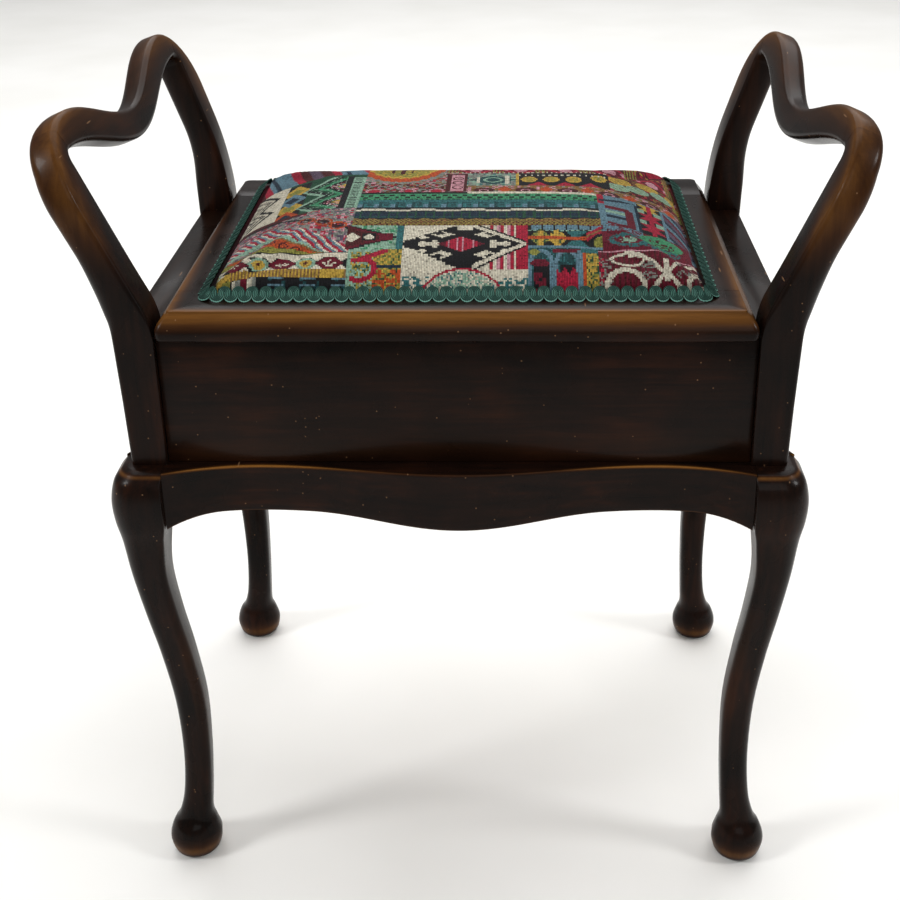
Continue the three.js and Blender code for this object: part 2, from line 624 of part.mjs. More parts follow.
const hingeXs = [-HINGE_X, HINGE_X];
const leafCuts = (dir) => hingeXs.flatMap((x) => [
  hingeRecess(x, dir),
  ...leafScrewPlaces(x, dir).map((place) => screw(LEAF_SCREW, place, dir, SCREW_GAP)),
]);
const standScrewCuts = CORNERS.map(([sx, sy]) => screw(STAND_SCREW, standScrewPlace(sx, sy), 1, SCREW_GAP));

for (const corner of CORNERS) {
  const [sx, sy] = corner;
  add(stand, `leg_${cornerName(corner)}`, leg(sx, sy), mahogany());
  add(stand, `corner_block_${cornerName(corner)}`, cutAll(cornerBlock(sx, sy), standScrewCuts), paleWood());
  add(stand, `stand_screw_${cornerName(corner)}`, slottedScrew(STAND_SCREW, standScrewPlace(sx, sy), 1), brass());
}

const longApron = apron(BLOCK_X, FRONT_FLARE_LEN, FRONT_ROUND_LEN, FRONT_DROP_HALF);
const shortApron = apron(BLOCK_Y, SIDE_FLARE_LEN, SIDE_ROUND_LEN, SIDE_DROP_HALF);
add(stand, 'apron_front', longApron, mahogany()).position.set(0, -BLOCK_Y, 0);
const backApron = add(stand, 'apron_back', longApron, mahogany());
backApron.position.set(0, BLOCK_Y, 0);
backApron.rotation.z = Math.PI;
for (const [name, side] of SIDES) {
  const sideApron = add(stand, `apron_${name}`, shortApron, mahogany());
  sideApron.position.set(side * BLOCK_X, 0, 0);
  sideApron.rotation.z = side * (Math.PI / 2);
}

add(box, 'box_front_panel', longPanel(-1), mahogany());
add(box, 'box_back_panel', cutAll(longPanel(1), leafCuts(-1)), mahogany());
add(box, 'box_bottom', cutAll(bottomBoard(), standScrewCuts), paleWood());

for (const [name, side] of SIDES) {
  add(box, `box_end_${name}`, endBoard(side), mahogany());
  const dowels = [-1, 1].map((end) => dowelPlace(side, end));
  const dowelCuts = dowels.map((place) => bar(DOWEL_R + SCREW_GAP, DOWEL_LEN + 2 * SCREW_GAP, 'y', place, 12));
  add(arms, `arm_rail_${name}`, cutAll(armRail(side), dowelCuts), mahogany());
  for (const [place, end] of [[dowels[0], -1], [dowels[1], 1]]) {
    const where = `${end < 0 ? 'front' : 'back'}_${name}`;
    add(arms, `arm_post_${where}`, cutAll(armPost(side, end), dowelCuts), mahogany());
    add(arms, `arm_dowel_${where}`, bar(DOWEL_R, DOWEL_LEN, 'y', place, 12), paleWood());
  }
}

const frame = lidFrame();
const frontEdge = LID_FRONT + LID_RAIL_W;
const backEdge = LID_BACK - LID_RAIL_W;
const sideEdge = LID_X - LID_RAIL_W;
add(lid, 'lid_rail_front', lidRail(frame, [-LID_X - 1, LID_FRONT - 1], [LID_X + 1, frontEdge]), mahogany());
const backRail = lidRail(frame, [-LID_X - 1, backEdge], [LID_X + 1, LID_BACK + 1]);
add(lid, 'lid_rail_back', cutAll(backRail, leafCuts(1)), mahogany());
for (const [name, side] of SIDES) {
  const low = [side * sideEdge, frontEdge + JOINT_GAP];
  const high = [side * (LID_X + 1), backEdge - JOINT_GAP];
  add(lid, `lid_rail_${name}`, lidRail(frame, low, high), mahogany());
}
add(lid, 'lid_board', block(
  [-sideEdge + JOINT_GAP, frontEdge + JOINT_GAP, LID_TOP - LID_BOARD_T],
  [sideEdge - JOINT_GAP, backEdge - JOINT_GAP, LID_TOP],
), paleWood());
add(lid, 'seat_pad', seatPad(), tapestry());
add(lid, 'gimp_braid', braidBand(), braid());

hingeXs.forEach((x, i) => {
  const name = SIDES[i][0];
  for (const [kind, dir, group] of [['fixed', -1, box], ['moving', 1, lid]]) {
    const places = leafScrewPlaces(x, dir);
    const holes = places.map((place) => screw(LEAF_SCREW, place, dir, SCREW_GAP));
    add(group, `hinge_${name}_${kind}_leaf`, cutAll(hingeLeaf(x, dir), holes), brass());
    places.forEach((place, k) => {
      add(group, `hinge_${name}_${kind}_screw_${k + 1}`, slottedScrew(LEAF_SCREW, place, dir), brass());
    });
  }
  add(box, `hinge_${name}_pin`, bar(PIN_R, HINGE_LEN, 'x', [x, HINGE_Y, HINGE_Z]), brass());
});

export default stool;
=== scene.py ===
"""Piano stool: dark French-polished mahogany, a lift-up lid and a tapestry pad edged with gimp."""

import logging
import math
from dataclasses import dataclass, field
from enum import Enum

import bmesh
import bpy
import numpy as np
from mathutils import Matrix, Vector
from mathutils.bvhtree import BVHTree


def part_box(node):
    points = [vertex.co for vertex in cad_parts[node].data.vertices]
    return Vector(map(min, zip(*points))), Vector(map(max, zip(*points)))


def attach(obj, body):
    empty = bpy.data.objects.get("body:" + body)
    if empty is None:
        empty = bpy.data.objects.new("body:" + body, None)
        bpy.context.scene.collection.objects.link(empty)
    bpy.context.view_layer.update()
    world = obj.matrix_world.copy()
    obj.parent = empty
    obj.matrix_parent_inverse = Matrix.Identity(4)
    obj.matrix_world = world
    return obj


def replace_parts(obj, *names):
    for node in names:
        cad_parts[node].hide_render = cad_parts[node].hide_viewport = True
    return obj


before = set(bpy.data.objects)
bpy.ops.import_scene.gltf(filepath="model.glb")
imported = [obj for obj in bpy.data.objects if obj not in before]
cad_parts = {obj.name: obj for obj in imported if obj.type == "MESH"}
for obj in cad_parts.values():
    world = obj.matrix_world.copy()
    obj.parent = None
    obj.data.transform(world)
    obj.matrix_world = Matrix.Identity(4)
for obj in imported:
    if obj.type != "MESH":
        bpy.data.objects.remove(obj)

LOG = logging.getLogger("stool")
MM = 0.001
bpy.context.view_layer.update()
SEED = 11
WELD = 0.02 * MM


class Body(Enum):
    """The two bodies of the stool."""

    STOOL = "stool"
    LID = "lid"


class Grain(Enum):
    """Direction that the grain of a board runs in."""

    ACROSS = (0.07, 1.0, 1.0)
    DEEP = (1.0, 0.07, 1.0)
    UPRIGHT = (1.0, 1.0, 0.07)


class Yarn(Enum):
    """Colours of the tapestry's yarns."""

    BLACK = "17171a"
    CREAM = "cfc8b4"
    BURGUNDY = "641426"
    CRIMSON = "a01d36"
    DARK_RED = "4a1a1c"
    PINK = "bf8a94"
    TEAL = "2f6668"
    DEEP_TEAL = "1d4346"
    SLATE = "5f7f8d"
    NAVY = "1c2c3c"
    GREEN = "3f8a62"
    DARK_GREEN = "1e4632"
    MINT = "86a892"
    GOLD = "b8973f"
    OLIVE = "83823c"
    ORANGE = "b04a24"
    TAN = "82623a"
    GREY = "7d8078"
    PURPLE = "5a4a5c"


YARNS = list(Yarn)


def linear(code: str) -> tuple:
    """Turns an sRGB hex colour to linear.

    Args:
        code: six hex digits.

    Returns:
        Red, green, blue and alpha as Blender takes them.
    """
    parts = [int(code[k:k + 2], 16) / 255 for k in (0, 2, 4)]
    return tuple(c / 12.92 if c <= 0.04045 else ((c + 0.055) / 1.055) ** 2.4 for c in parts) + (1.0,)


def lerp(a: float, b: float, t: float) -> float:
    """Value between a and b at the share t."""
    return a + (b - a) * t


def smooth(x: float, low: float, high: float) -> float:
    """Smooth step from 0 at low to 1 at high."""
    t = min(1.0, max(0.0, (x - low) / (high - low)))
    return t * t * (3 - 2 * t)


def bump_at(x: float, middle: float, spread: float) -> float:
    """Bell of height 1 round a middle."""
    return math.exp(-((x - middle) / spread) ** 2)


# ---- Modelling ----------------------------------------------------------------------


def deselect() -> None:
    """Leaves object mode with nothing selected."""
    if bpy.context.object and bpy.context.object.mode != "OBJECT":
        bpy.ops.object.mode_set(mode="OBJECT")
    bpy.ops.object.select_all(action="DESELECT")


def activate(piece: bpy.types.Object) -> None:
    """Selects one piece and makes it active."""
    deselect()
    piece.select_set(True)
    bpy.context.view_layer.objects.active = piece


def edit_whole(piece: bpy.types.Object) -> None:
    """Opens one piece in edit mode with all of it selected."""
    activate(piece)
    bpy.ops.object.mode_set(mode="EDIT")
    bpy.ops.mesh.select_all(action="SELECT")


def copy_of(node_name: str, name: str) -> bpy.types.Object:
    """Makes a loose copy of a CAD node.

    Args:
        node_name: the node.
        name: the copy's name.

    Returns:
        The copy, with points that share a place welded, open in edit mode.
    """
    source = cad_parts[node_name]
    piece = source.copy()
    piece.data = source.data.copy()
    piece.name = piece.data.name = name
    piece.parent = None
    for key in list(piece.keys()):
        del piece[key]
    bpy.context.scene.collection.objects.link(piece)
    edit_whole(piece)
    bpy.ops.mesh.remove_doubles(threshold=WELD)
    return piece


def apply_modifier(piece: bpy.types.Object, kind: str, **settings) -> None:
    """Adds a modifier and applies it.

    Args:
        piece: the piece.
        kind: the modifier's type.
        settings: its settings.
    """
    activate(piece)
    modifier = piece.modifiers.new(kind.title(), kind)
    for key, value in settings.items():
        setattr(modifier, key, value)
    bpy.ops.object.modifier_apply(modifier=modifier.name)


def dress(piece: bpy.types.Object, body: Body, material: bpy.types.Material) -> None:
    """Gives a piece its material, its body and the slot its finish comes from.

    Args:
        piece: the piece.
        body: the body that it moves with.
        material: its finish.
    """
    piece.data.materials.clear()
    piece.data.materials.append(material)
    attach(piece, body.value)
    LOG.info("%s: %d faces", piece.name, len(piece.data.polygons))


def finish_mesh(piece: bpy.types.Object, angle: float = 32.0) -> bpy.types.Object:
    """Closes, cleans and smooths a piece.

    Args:
        piece: a piece in edit or object mode.
        angle: edges sharper than this, in degrees, stay sharp.

    Returns:
        The piece.
    """
    edit_whole(piece)
    bpy.ops.mesh.remove_doubles(threshold=WELD)
    bpy.ops.mesh.fill_holes(sides=0)
    bpy.ops.mesh.select_all(action="SELECT")
    bpy.ops.mesh.normals_make_consistent(inside=False)
    bpy.ops.object.mode_set(mode="OBJECT")
    bpy.ops.object.shade_smooth_by_angle(angle=math.radians(angle))
    deselect()
    return piece


def loft(name: str, rings: list) -> bpy.types.Object:
    """Draws a circle, sets it to the first ring and extrudes it through the others.

    Args:
        name: the piece's name.
        rings: rows of (point in mm, wear from 0 to 1), all of one length.

    Returns:
        The closed piece, with its wear as an attribute of its points.
    """
    deselect()
    bpy.ops.mesh.primitive_circle_add(vertices=len(rings[0]), radius=1, fill_type="NOTHING")
    piece = bpy.context.object
    piece.name = piece.data.name = name
    bpy.ops.object.mode_set(mode="EDIT")
    bpy.ops.mesh.select_all(action="SELECT")
    mesh = bmesh.from_edit_mesh(piece.data)
    mesh.verts.layers.float.new("wear")
    for step, ring in enumerate(rings):
        if step:
            bpy.ops.mesh.extrude_edges_move()
        mesh = bmesh.from_edit_mesh(piece.data)
        layer = mesh.verts.layers.float["wear"]
        for vert, (point, wear) in zip([v for v in mesh.verts if v.select], ring):
            vert.co = Vector(point) * MM
            vert[layer] = wear
        bmesh.update_edit_mesh(piece.data)
    return finish_mesh(piece)


def rounded_section(low: tuple, high: tuple, radii: tuple, steps: tuple) -> list:
    """Rectangle with its own radius at each corner.

    Args:
        low: lower left corner.
        high: upper right corner.
        radii: radius at each corner, round from the lower left one.
        steps: segments at each corner.

    Returns:
        Points (u, v, corner), the corner being its number.
    """
    (u0, v0), (u1, v1) = low, high
    corners = ((u0, v0, 1, 1, 180), (u1, v0, -1, 1, 270), (u1, v1, -1, -1, 0), (u0, v1, 1, -1, 90))
    points = []
    for number, (u, v, su, sv, start) in enumerate(corners):
        r = radii[number]
        for k in range(steps[number] + 1):
            turn = math.radians(start + 90 * k / steps[number])
            points.append((u + su * r + r * math.cos(turn), v + sv * r + r * math.sin(turn), number))
    return points


def softened_copy(node_name: str, name: str, arris: float = 0.7) -> bpy.types.Object:
    """Copies a board and breaks its arrises.

    Args:
        node_name: the CAD node to copy.
        name: the piece's name.
        arris: width of the broken arris in mm.

    Returns:
        The piece, which replaces the node.
    """
    piece = copy_of(node_name, name)
    bpy.ops.mesh.dissolve_limited(angle_limit=math.radians(1.0))
    bpy.ops.mesh.select_all(action="DESELECT")
    bpy.ops.mesh.edges_select_sharp(sharpness=math.radians(50))
    bpy.ops.mesh.bevel(offset=arris * MM, segments=2, profile=0.5, clamp_overlap=True)
    bpy.ops.object.mode_set(mode="OBJECT")
    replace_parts(piece, node_name)
    return finish_mesh(piece, 40)


def paint_wear(piece: bpy.types.Object, rule: object) -> None:
    """Stores a wear from 0 to 1 at each point of a piece.

    Args:
        piece: the piece.
        rule: takes a point in mm and its normal, and returns the wear.
    """
    store = piece.data.attributes.get("wear") or piece.data.attributes.new("wear", "FLOAT", "POINT")
    values = [rule(v.co / MM, v.normal) for v in piece.data.vertices]
    store.data.foreach_set("value", values)


def points_of(piece: bpy.types.Object) -> np.ndarray:
    """Places of a piece's points, one row each."""
    flat = np.empty(len(piece.data.vertices) * 3, np.float32)
    piece.data.vertices.foreach_get("co", flat)
    return flat.reshape(-1, 3)


def store_vectors(piece: bpy.types.Object, name: str, values: np.ndarray) -> None:
    """Stores three numbers at each point of a piece.

    Args:
        piece: the piece.
        name: the attribute's name.
        values: one row for each point.
    """
    store = piece.data.attributes.new(name, "FLOAT_VECTOR", "POINT")
    store.data.foreach_set("vector", np.asarray(values, np.float32).ravel())


# ---- Finishes -----------------------------------------------------------------------


def node(tree: bpy.types.NodeTree, kind: object, inputs: dict = None, stops: tuple = (),
         **settings) -> bpy.types.Node:
    """Adds a node with its settings and links.

    Args:
        tree: the material's tree.
        kind: the node's type without its prefix, or a node that is there already.
        inputs: values, sockets or nodes by input name or number. A node stands for its first output.
        stops: (position, sRGB hex) pairs of a colour ramp.
        settings: the node's own settings.

    Returns:
        The node.
    """
    made = tree.nodes.new(f"ShaderNode{kind}") if isinstance(kind, str) else kind
    for key, value in settings.items():
        setattr(made, key, value)
    for key, value in (inputs or {}).items():
        value = value.outputs[0] if isinstance(value, bpy.types.Node) else value
        if isinstance(value, bpy.types.NodeSocket):
            tree.links.new(value, made.inputs[key])
        else:
            made.inputs[key].default_value = value
    if stops:
        elements = made.color_ramp.elements
        while len(elements) < len(stops):
            elements.new(0.5)
        for element, (position, code) in zip(elements, stops):
            element.position = position
            element.color = linear(code)
    return made


def new_material(name: str) -> tuple:
    """Starts a material.

    Args:
        name: its name.

    Returns:
        The material, its tree and its shader.
    """
    material = bpy.data.materials.new(name)
    material.use_nodes = True
    tree = material.node_tree
    return material, tree, tree.nodes["Principled BSDF"]


@dataclass(frozen=True)
class FrenchPolish:
    """Mahogany stained near black and French polished by hand, rubbed through to honey on its edges; on the
    aprons' and the lid's top arrises that honey is partly painted highlight.
    """

    grain: Grain
    name: str = "french_polished_mahogany"
    deep: str = "0c0705"
    body: str = "190d08"
    red: str = "29140a"
    rubbed: str = "4a2a10"
    honey_wear_and_highlight: str = "7c5121"
    scratch: str = "8d6a4c"

    def build(self) -> bpy.types.Material:
        """Makes the material: grain, pores, cloudy stain, rubbed edges (partly painted highlight) and fine
        scratches.

        Returns:
            The material.
        """
        material, tree, shader = new_material(f"{self.name}_{self.grain.name.lower()}")
        place = node(tree, "TexCoord").outputs["Object"]
        along = node(tree, "Mapping", {"Vector": place, "Scale": self.grain.value})
        # Growth rings a few millimetres apart, drawn out along the board.
        figure = node(tree, "TexNoise", {"Vector": along, "Scale": 160.0, "Detail": 6.0, "Roughness": 0.62,
                                         "Distortion": 0.4})
        # Pores 0.3 mm wide, drawn twice as coarse so that they show.
        pores = node(tree, "TexNoise", {"Vector": along, "Scale": 1500.0, "Detail": 2.0, "Roughness": 0.5})
        # Clouds in the stain, some 60 mm across.
        cloud = node(tree, "TexNoise", {"Vector": place, "Scale": 17.0, "Detail": 3.0})
        tone = node(tree, "Math", {0: figure, 1: cloud, 2: 0.12}, operation="MULTIPLY_ADD")
        base = node(tree, "ValToRGB", {"Fac": tone}, ((0.26, self.deep), (0.40, self.body), (0.56, self.red)))
        # Rubbed edges: the painted wear, broken up by the grain and by handling. On the aprons' and the lid's
        # top arrises it is partly painted highlight too.
        wear = node(tree, "Attribute", attribute_name="wear", attribute_type="GEOMETRY").outputs["Fac"]
        rub = node(tree, "TexNoise", {"Vector": along, "Scale": 55.0, "Detail": 5.0, "Roughness": 0.7})
        rubbing = node(tree, "Math", {0: rub, 1: 0.75}, operation="ADD")
        wear_and_highlight = node(tree, "Math", {0: wear, 1: rubbing}, operation="MULTIPLY", use_clamp=True)
        bare_and_highlight = node(tree, "ValToRGB", {"Fac": wear_and_highlight},
                    ((0.0, self.red), (0.55, self.rubbed), (1.0, self.honey_wear_and_highlight)))
        amount = node(tree, "MapRange", {"Value": wear_and_highlight, "From Min": 0.3, "From Max": 1.0})
        colour = node(tree, "Mix", {0: amount, 6: base, 7: bare_and_highlight}, data_type="RGBA").outputs[2]
        # Scratches: slivers some 7 mm long and half a millimetre wide, slanting across the board.
        turned = node(tree, "Mapping", {"Vector": place, "Rotation": (0.5, 0.35, 0.9),
                                        "Scale": (110.0, 13.0, 110.0)})
        slivers = node(tree, "TexVoronoi", {"Vector": turned, "Scale": 1.0}).outputs["Distance"]
        marks = node(tree, "MapRange", {"Value": slivers, "From Min": 0.07, "From Max": 0.05, "To Max": 1.0})
        faint = node(tree, "Math", {0: marks, 1: 0.5}, operation="MULTIPLY")
        pale = linear(self.scratch)
        marked = node(tree, "Mix", {0: faint, 6: colour, 7: pale}, data_type="RGBA").outputs[2]
        # Hand polish: glossy, duller where the clouds are pale and where it is rubbed through.
        dull = node(tree, "MapRange", {"Value": cloud, "From Min": 0.3, "From Max": 0.7, "To Min": 0.19,
                                       "To Max": 0.33})
        rough = node(tree, "Math", {0: wear_and_highlight, 1: 0.12, 2: dull}, operation="MULTIPLY_ADD")
        relief = node(tree, "Math", {0: pores, 1: 0.5, 2: figure}, operation="MULTIPLY_ADD")
        bump = node(tree, "Bump", {"Strength": 0.16, "Distance": 0.00025, "Height": relief})
        node(tree, shader, {"Base Color": marked, "Roughness": rough, "IOR": 1.5, "Specular IOR Level": 0.07,
                            "Coat Weight": 0.04, "Coat Roughness": 0.1, "Normal": bump})
        return material


@dataclass(frozen=True)
class SawnPine:
    """Pine left from the saw and yellowed with age: pale boards with brown rings and a dry, matt face."""

    name: str = "aged_pine"
    pale: str = "9c7a4c"
    ring: str = "6a4726"

    def build(self) -> bpy.types.Material:
        """Makes the material.

        Returns:
            The material.
        """
        material, tree, shader = new_material(self.name)
        place = node(tree, "TexCoord").outputs["Object"]
        along = node(tree, "Mapping", {"Vector": place, "Scale": (0.05, 1.0, 1.0)})
        rings = node(tree, "TexNoise", {"Vector": along, "Scale": 130.0, "Detail": 5.0, "Roughness": 0.6})
        colour = node(tree, "ValToRGB", {"Fac": rings}, ((0.38, self.ring), (0.62, self.pale)))
        fibre = node(tree, "TexNoise", {"Vector": along, "Scale": 900.0, "Detail": 3.0})
        bump = node(tree, "Bump", {"Strength": 0.3, "Distance": 0.0004, "Height": fibre})
        node(tree, shader, {"Base Color": colour, "Roughness": 0.72, "Normal": bump})
        return material


@dataclass(frozen=True)
class AgedBrass:
    """Pressed brass gone brown in its hollows, with brighter rubbed patches."""

    name: str = "aged_brass"
    bright: str = "a8834a"
    brown: str = "5a4020"

    def build(self) -> bpy.types.Material:
        """Makes the material.

        Returns:
            The material.
        """
        material, tree, shader = new_material(self.name)
        place = node(tree, "TexCoord").outputs["Object"]
        # Tarnish in patches of about 4 mm.
        patch = node(tree, "TexNoise", {"Vector": place, "Scale": 250.0, "Detail": 5.0, "Roughness": 0.65})
        colour = node(tree, "ValToRGB", {"Fac": patch}, ((0.36, self.brown), (0.6, self.bright)))
        rough = node(tree, "MapRange", {"Value": patch, "To Min": 0.55, "To Max": 0.25})
        bump = node(tree, "Bump", {"Strength": 0.15, "Distance": 0.0002, "Height": patch})
        node(tree, shader, {"Base Color": colour, "Metallic": 1.0, "Roughness": rough, "Normal": bump})
        return material


@dataclass(frozen=True)
class RibbedTapestry:
    """Woven tapestry in cotton and wool: coloured picks beaten down over ribs a millimetre apart."""

    name: str = "ribbed_wool_tapestry"
    rib_pitch: float = 1.15
    pick_pitch: float = 0.9

    def build(self) -> bpy.types.Material:
        """Makes the material: the charted yarn colours, ribs, picks and fuzz, with painted shade and
        highlight on the weave.

        Returns:
            The material.
        """
        material, tree, shader = new_material(self.name)
        yarn = node(tree, "Attribute", attribute_name="yarn", attribute_type="GEOMETRY").outputs["Color"]
        cloth = node(tree, "Attribute", attribute_name="cloth", attribute_type="GEOMETRY").outputs["Vector"]
        split = node(tree, "SeparateXYZ", {0: cloth}).outputs
        turns = 2 * math.pi
        across = node(tree, "Math", {0: split[0], 1: turns / self.rib_pitch}, operation="MULTIPLY")
        rib = node(tree, "Math", {0: across}, operation="SINE")
        down = node(tree, "Math", {0: split[1], 1: turns / self.pick_pitch}, operation="MULTIPLY")
        # Each pick passes over one rib and under the next, so its crest shifts by half a turn.
        half = node(tree, "Math", {0: across, 1: 0.5}, operation="MULTIPLY")
        flip = node(tree, "Math", {0: half}, operation="SINE")
        sign = node(tree, "Math", {0: flip}, operation="SIGN")
        shifted = node(tree, "Math", {0: sign, 1: math.pi / 2, 2: down}, operation="MULTIPLY_ADD")
        pick = node(tree, "Math", {0: shifted}, operation="SINE")
        weave = node(tree, "Math", {0: pick, 1: 0.6, 2: rib}, operation="MULTIPLY_ADD")
        fuzz = node(tree, "TexNoise", {"Vector": cloth, "Scale": 0.9, "Detail": 4.0, "Roughness": 0.7})
        # Painted shade and highlight: the yarn colour is darkened in the furrows between ribs and picks and
        # where the fuzz is low, and lightened on the rib crests.
        shade = node(tree, "MapRange", {"Value": weave, "From Min": -1.6, "From Max": 1.2, "To Min": 0.34,
                                        "To Max": 1.2})
        shadow = node(tree, "MapRange", {"Value": fuzz, "From Min": 0.3, "From Max": 0.7, "To Min": 0.78,
                                         "To Max": 1.14})
        painted_weave_shade = node(tree, "Math", {0: shade, 1: shadow}, operation="MULTIPLY")
        colour = node(tree, "VectorMath", {0: yarn, "Scale": painted_weave_shade}, operation="SCALE")
        relief = node(tree, "Math", {0: fuzz, 1: 1.2, 2: weave}, operation="MULTIPLY_ADD")
        bump = node(tree, "Bump", {"Strength": 0.7, "Distance": 0.00035, "Height": relief})
        node(tree, shader, {"Base Color": colour, "Roughness": 0.92, "Specular IOR Level": 0.1,
                            "Sheen Weight": 0.04, "Normal": bump})
        return material


@dataclass(frozen=True)
class RayonGimp:
    """Gimp of twisted rayon cords, each bound by a paler thread, with fine twist lines across and painted
    shade in the hollows beside the cords and under the ribbon.
    """

    name: str = "twisted_rayon_gimp"
    edge: str = "6fa596"
    # Painted shade: near-black laid in the hollows beside each cord and on the ribbon's underside.
    hollow: str = "031310"
    crest: str = "0e3d33"
    twist_pitch: float = 0.8

    def build(self) -> bpy.types.Material:
        """Makes the material.

        Returns:
            The material.
        """
        material, tree, shader = new_material(self.name)
        lay = node(tree, "Attribute", attribute_name="lay", attribute_type="GEOMETRY").outputs["Vector"]
        split = node(tree, "SeparateXYZ", {0: lay}).outputs
        # The twist runs slantwise over each cord.
        slant = node(tree, "Math", {0: split[1], 1: 1.0, 2: split[0]}, operation="MULTIPLY_ADD")
        turn = node(tree, "Math", {0: slant, 1: 2 * math.pi / self.twist_pitch}, operation="MULTIPLY")
        twist = node(tree, "Math", {0: turn}, operation="SINE")
        level = node(tree, "Math", {0: twist, 1: 0.06, 2: split[2]}, operation="MULTIPLY_ADD")
        # The lay's third number picks the colour: the paler thread at the rims and furrows, painted shade in
        # the hollows beside the cords and underneath, teal on the crests; the twist shifts it a little.
        colour = node(tree, "ValToRGB", {"Fac": level},
                      ((0.4, self.edge), (0.56, self.hollow), (0.95, self.crest)))
        bump = node(tree, "Bump", {"Strength": 0.5, "Distance": 0.0002, "Height": twist})
        node(tree, shader, {"Base Color": colour, "Roughness": 0.6, "Specular IOR Level": 0.2,
                            "Normal": bump})
        return material


@dataclass(frozen=True)
class PaintedFloor:
    """Plain off-white painted floor with a faint unevenness."""

    name: str = "painted_floor"
    light: str = "f6f5f2"
    shade: str = "efeeea"

    def build(self) -> bpy.types.Material:
        """Makes the material.

        Returns:
            The material.
        """
        material, tree, shader = new_material(self.name)
        place = node(tree, "TexCoord").outputs["Object"]
        cloud = node(tree, "TexNoise", {"Vector": place, "Scale": 3.0, "Detail": 3.0})
        colour = node(tree, "ValToRGB", {"Fac": cloud}, ((0.3, self.shade), (0.7, self.light)))
        node(tree, shader, {"Base Color": colour, "Roughness": 0.6})
        return material


def made_by(maker: object) -> bpy.types.Material:
    """Field that builds a finish when the set of finishes is made."""
    return field(default_factory=maker.build)


@dataclass
class Finishes:
    """Every material, built once."""

    across: bpy.types.Material = made_by(FrenchPolish(Grain.ACROSS))
    deep: bpy.types.Material = made_by(FrenchPolish(Grain.DEEP))
    upright: bpy.types.Material = made_by(FrenchPolish(Grain.UPRIGHT))
    pine: bpy.types.Material = made_by(SawnPine())
    brass: bpy.types.Material = made_by(AgedBrass())
    tapestry: bpy.types.Material = made_by(RibbedTapestry())
    gimp: bpy.types.Material = made_by(RayonGimp())


# ---- Stand --------------------------------------------------------------------------

CORNERS = ((-1, -1), (1, -1), (-1, 1), (1, 1))
SIDES = (("left", -1), ("right", 1))


def corner_name(sx: int, sy: int) -> str:
    """Plain name of a corner."""
    return f"{'front' if sy < 0 else 'back'}_{'left' if sx < 0 else 'right'}"


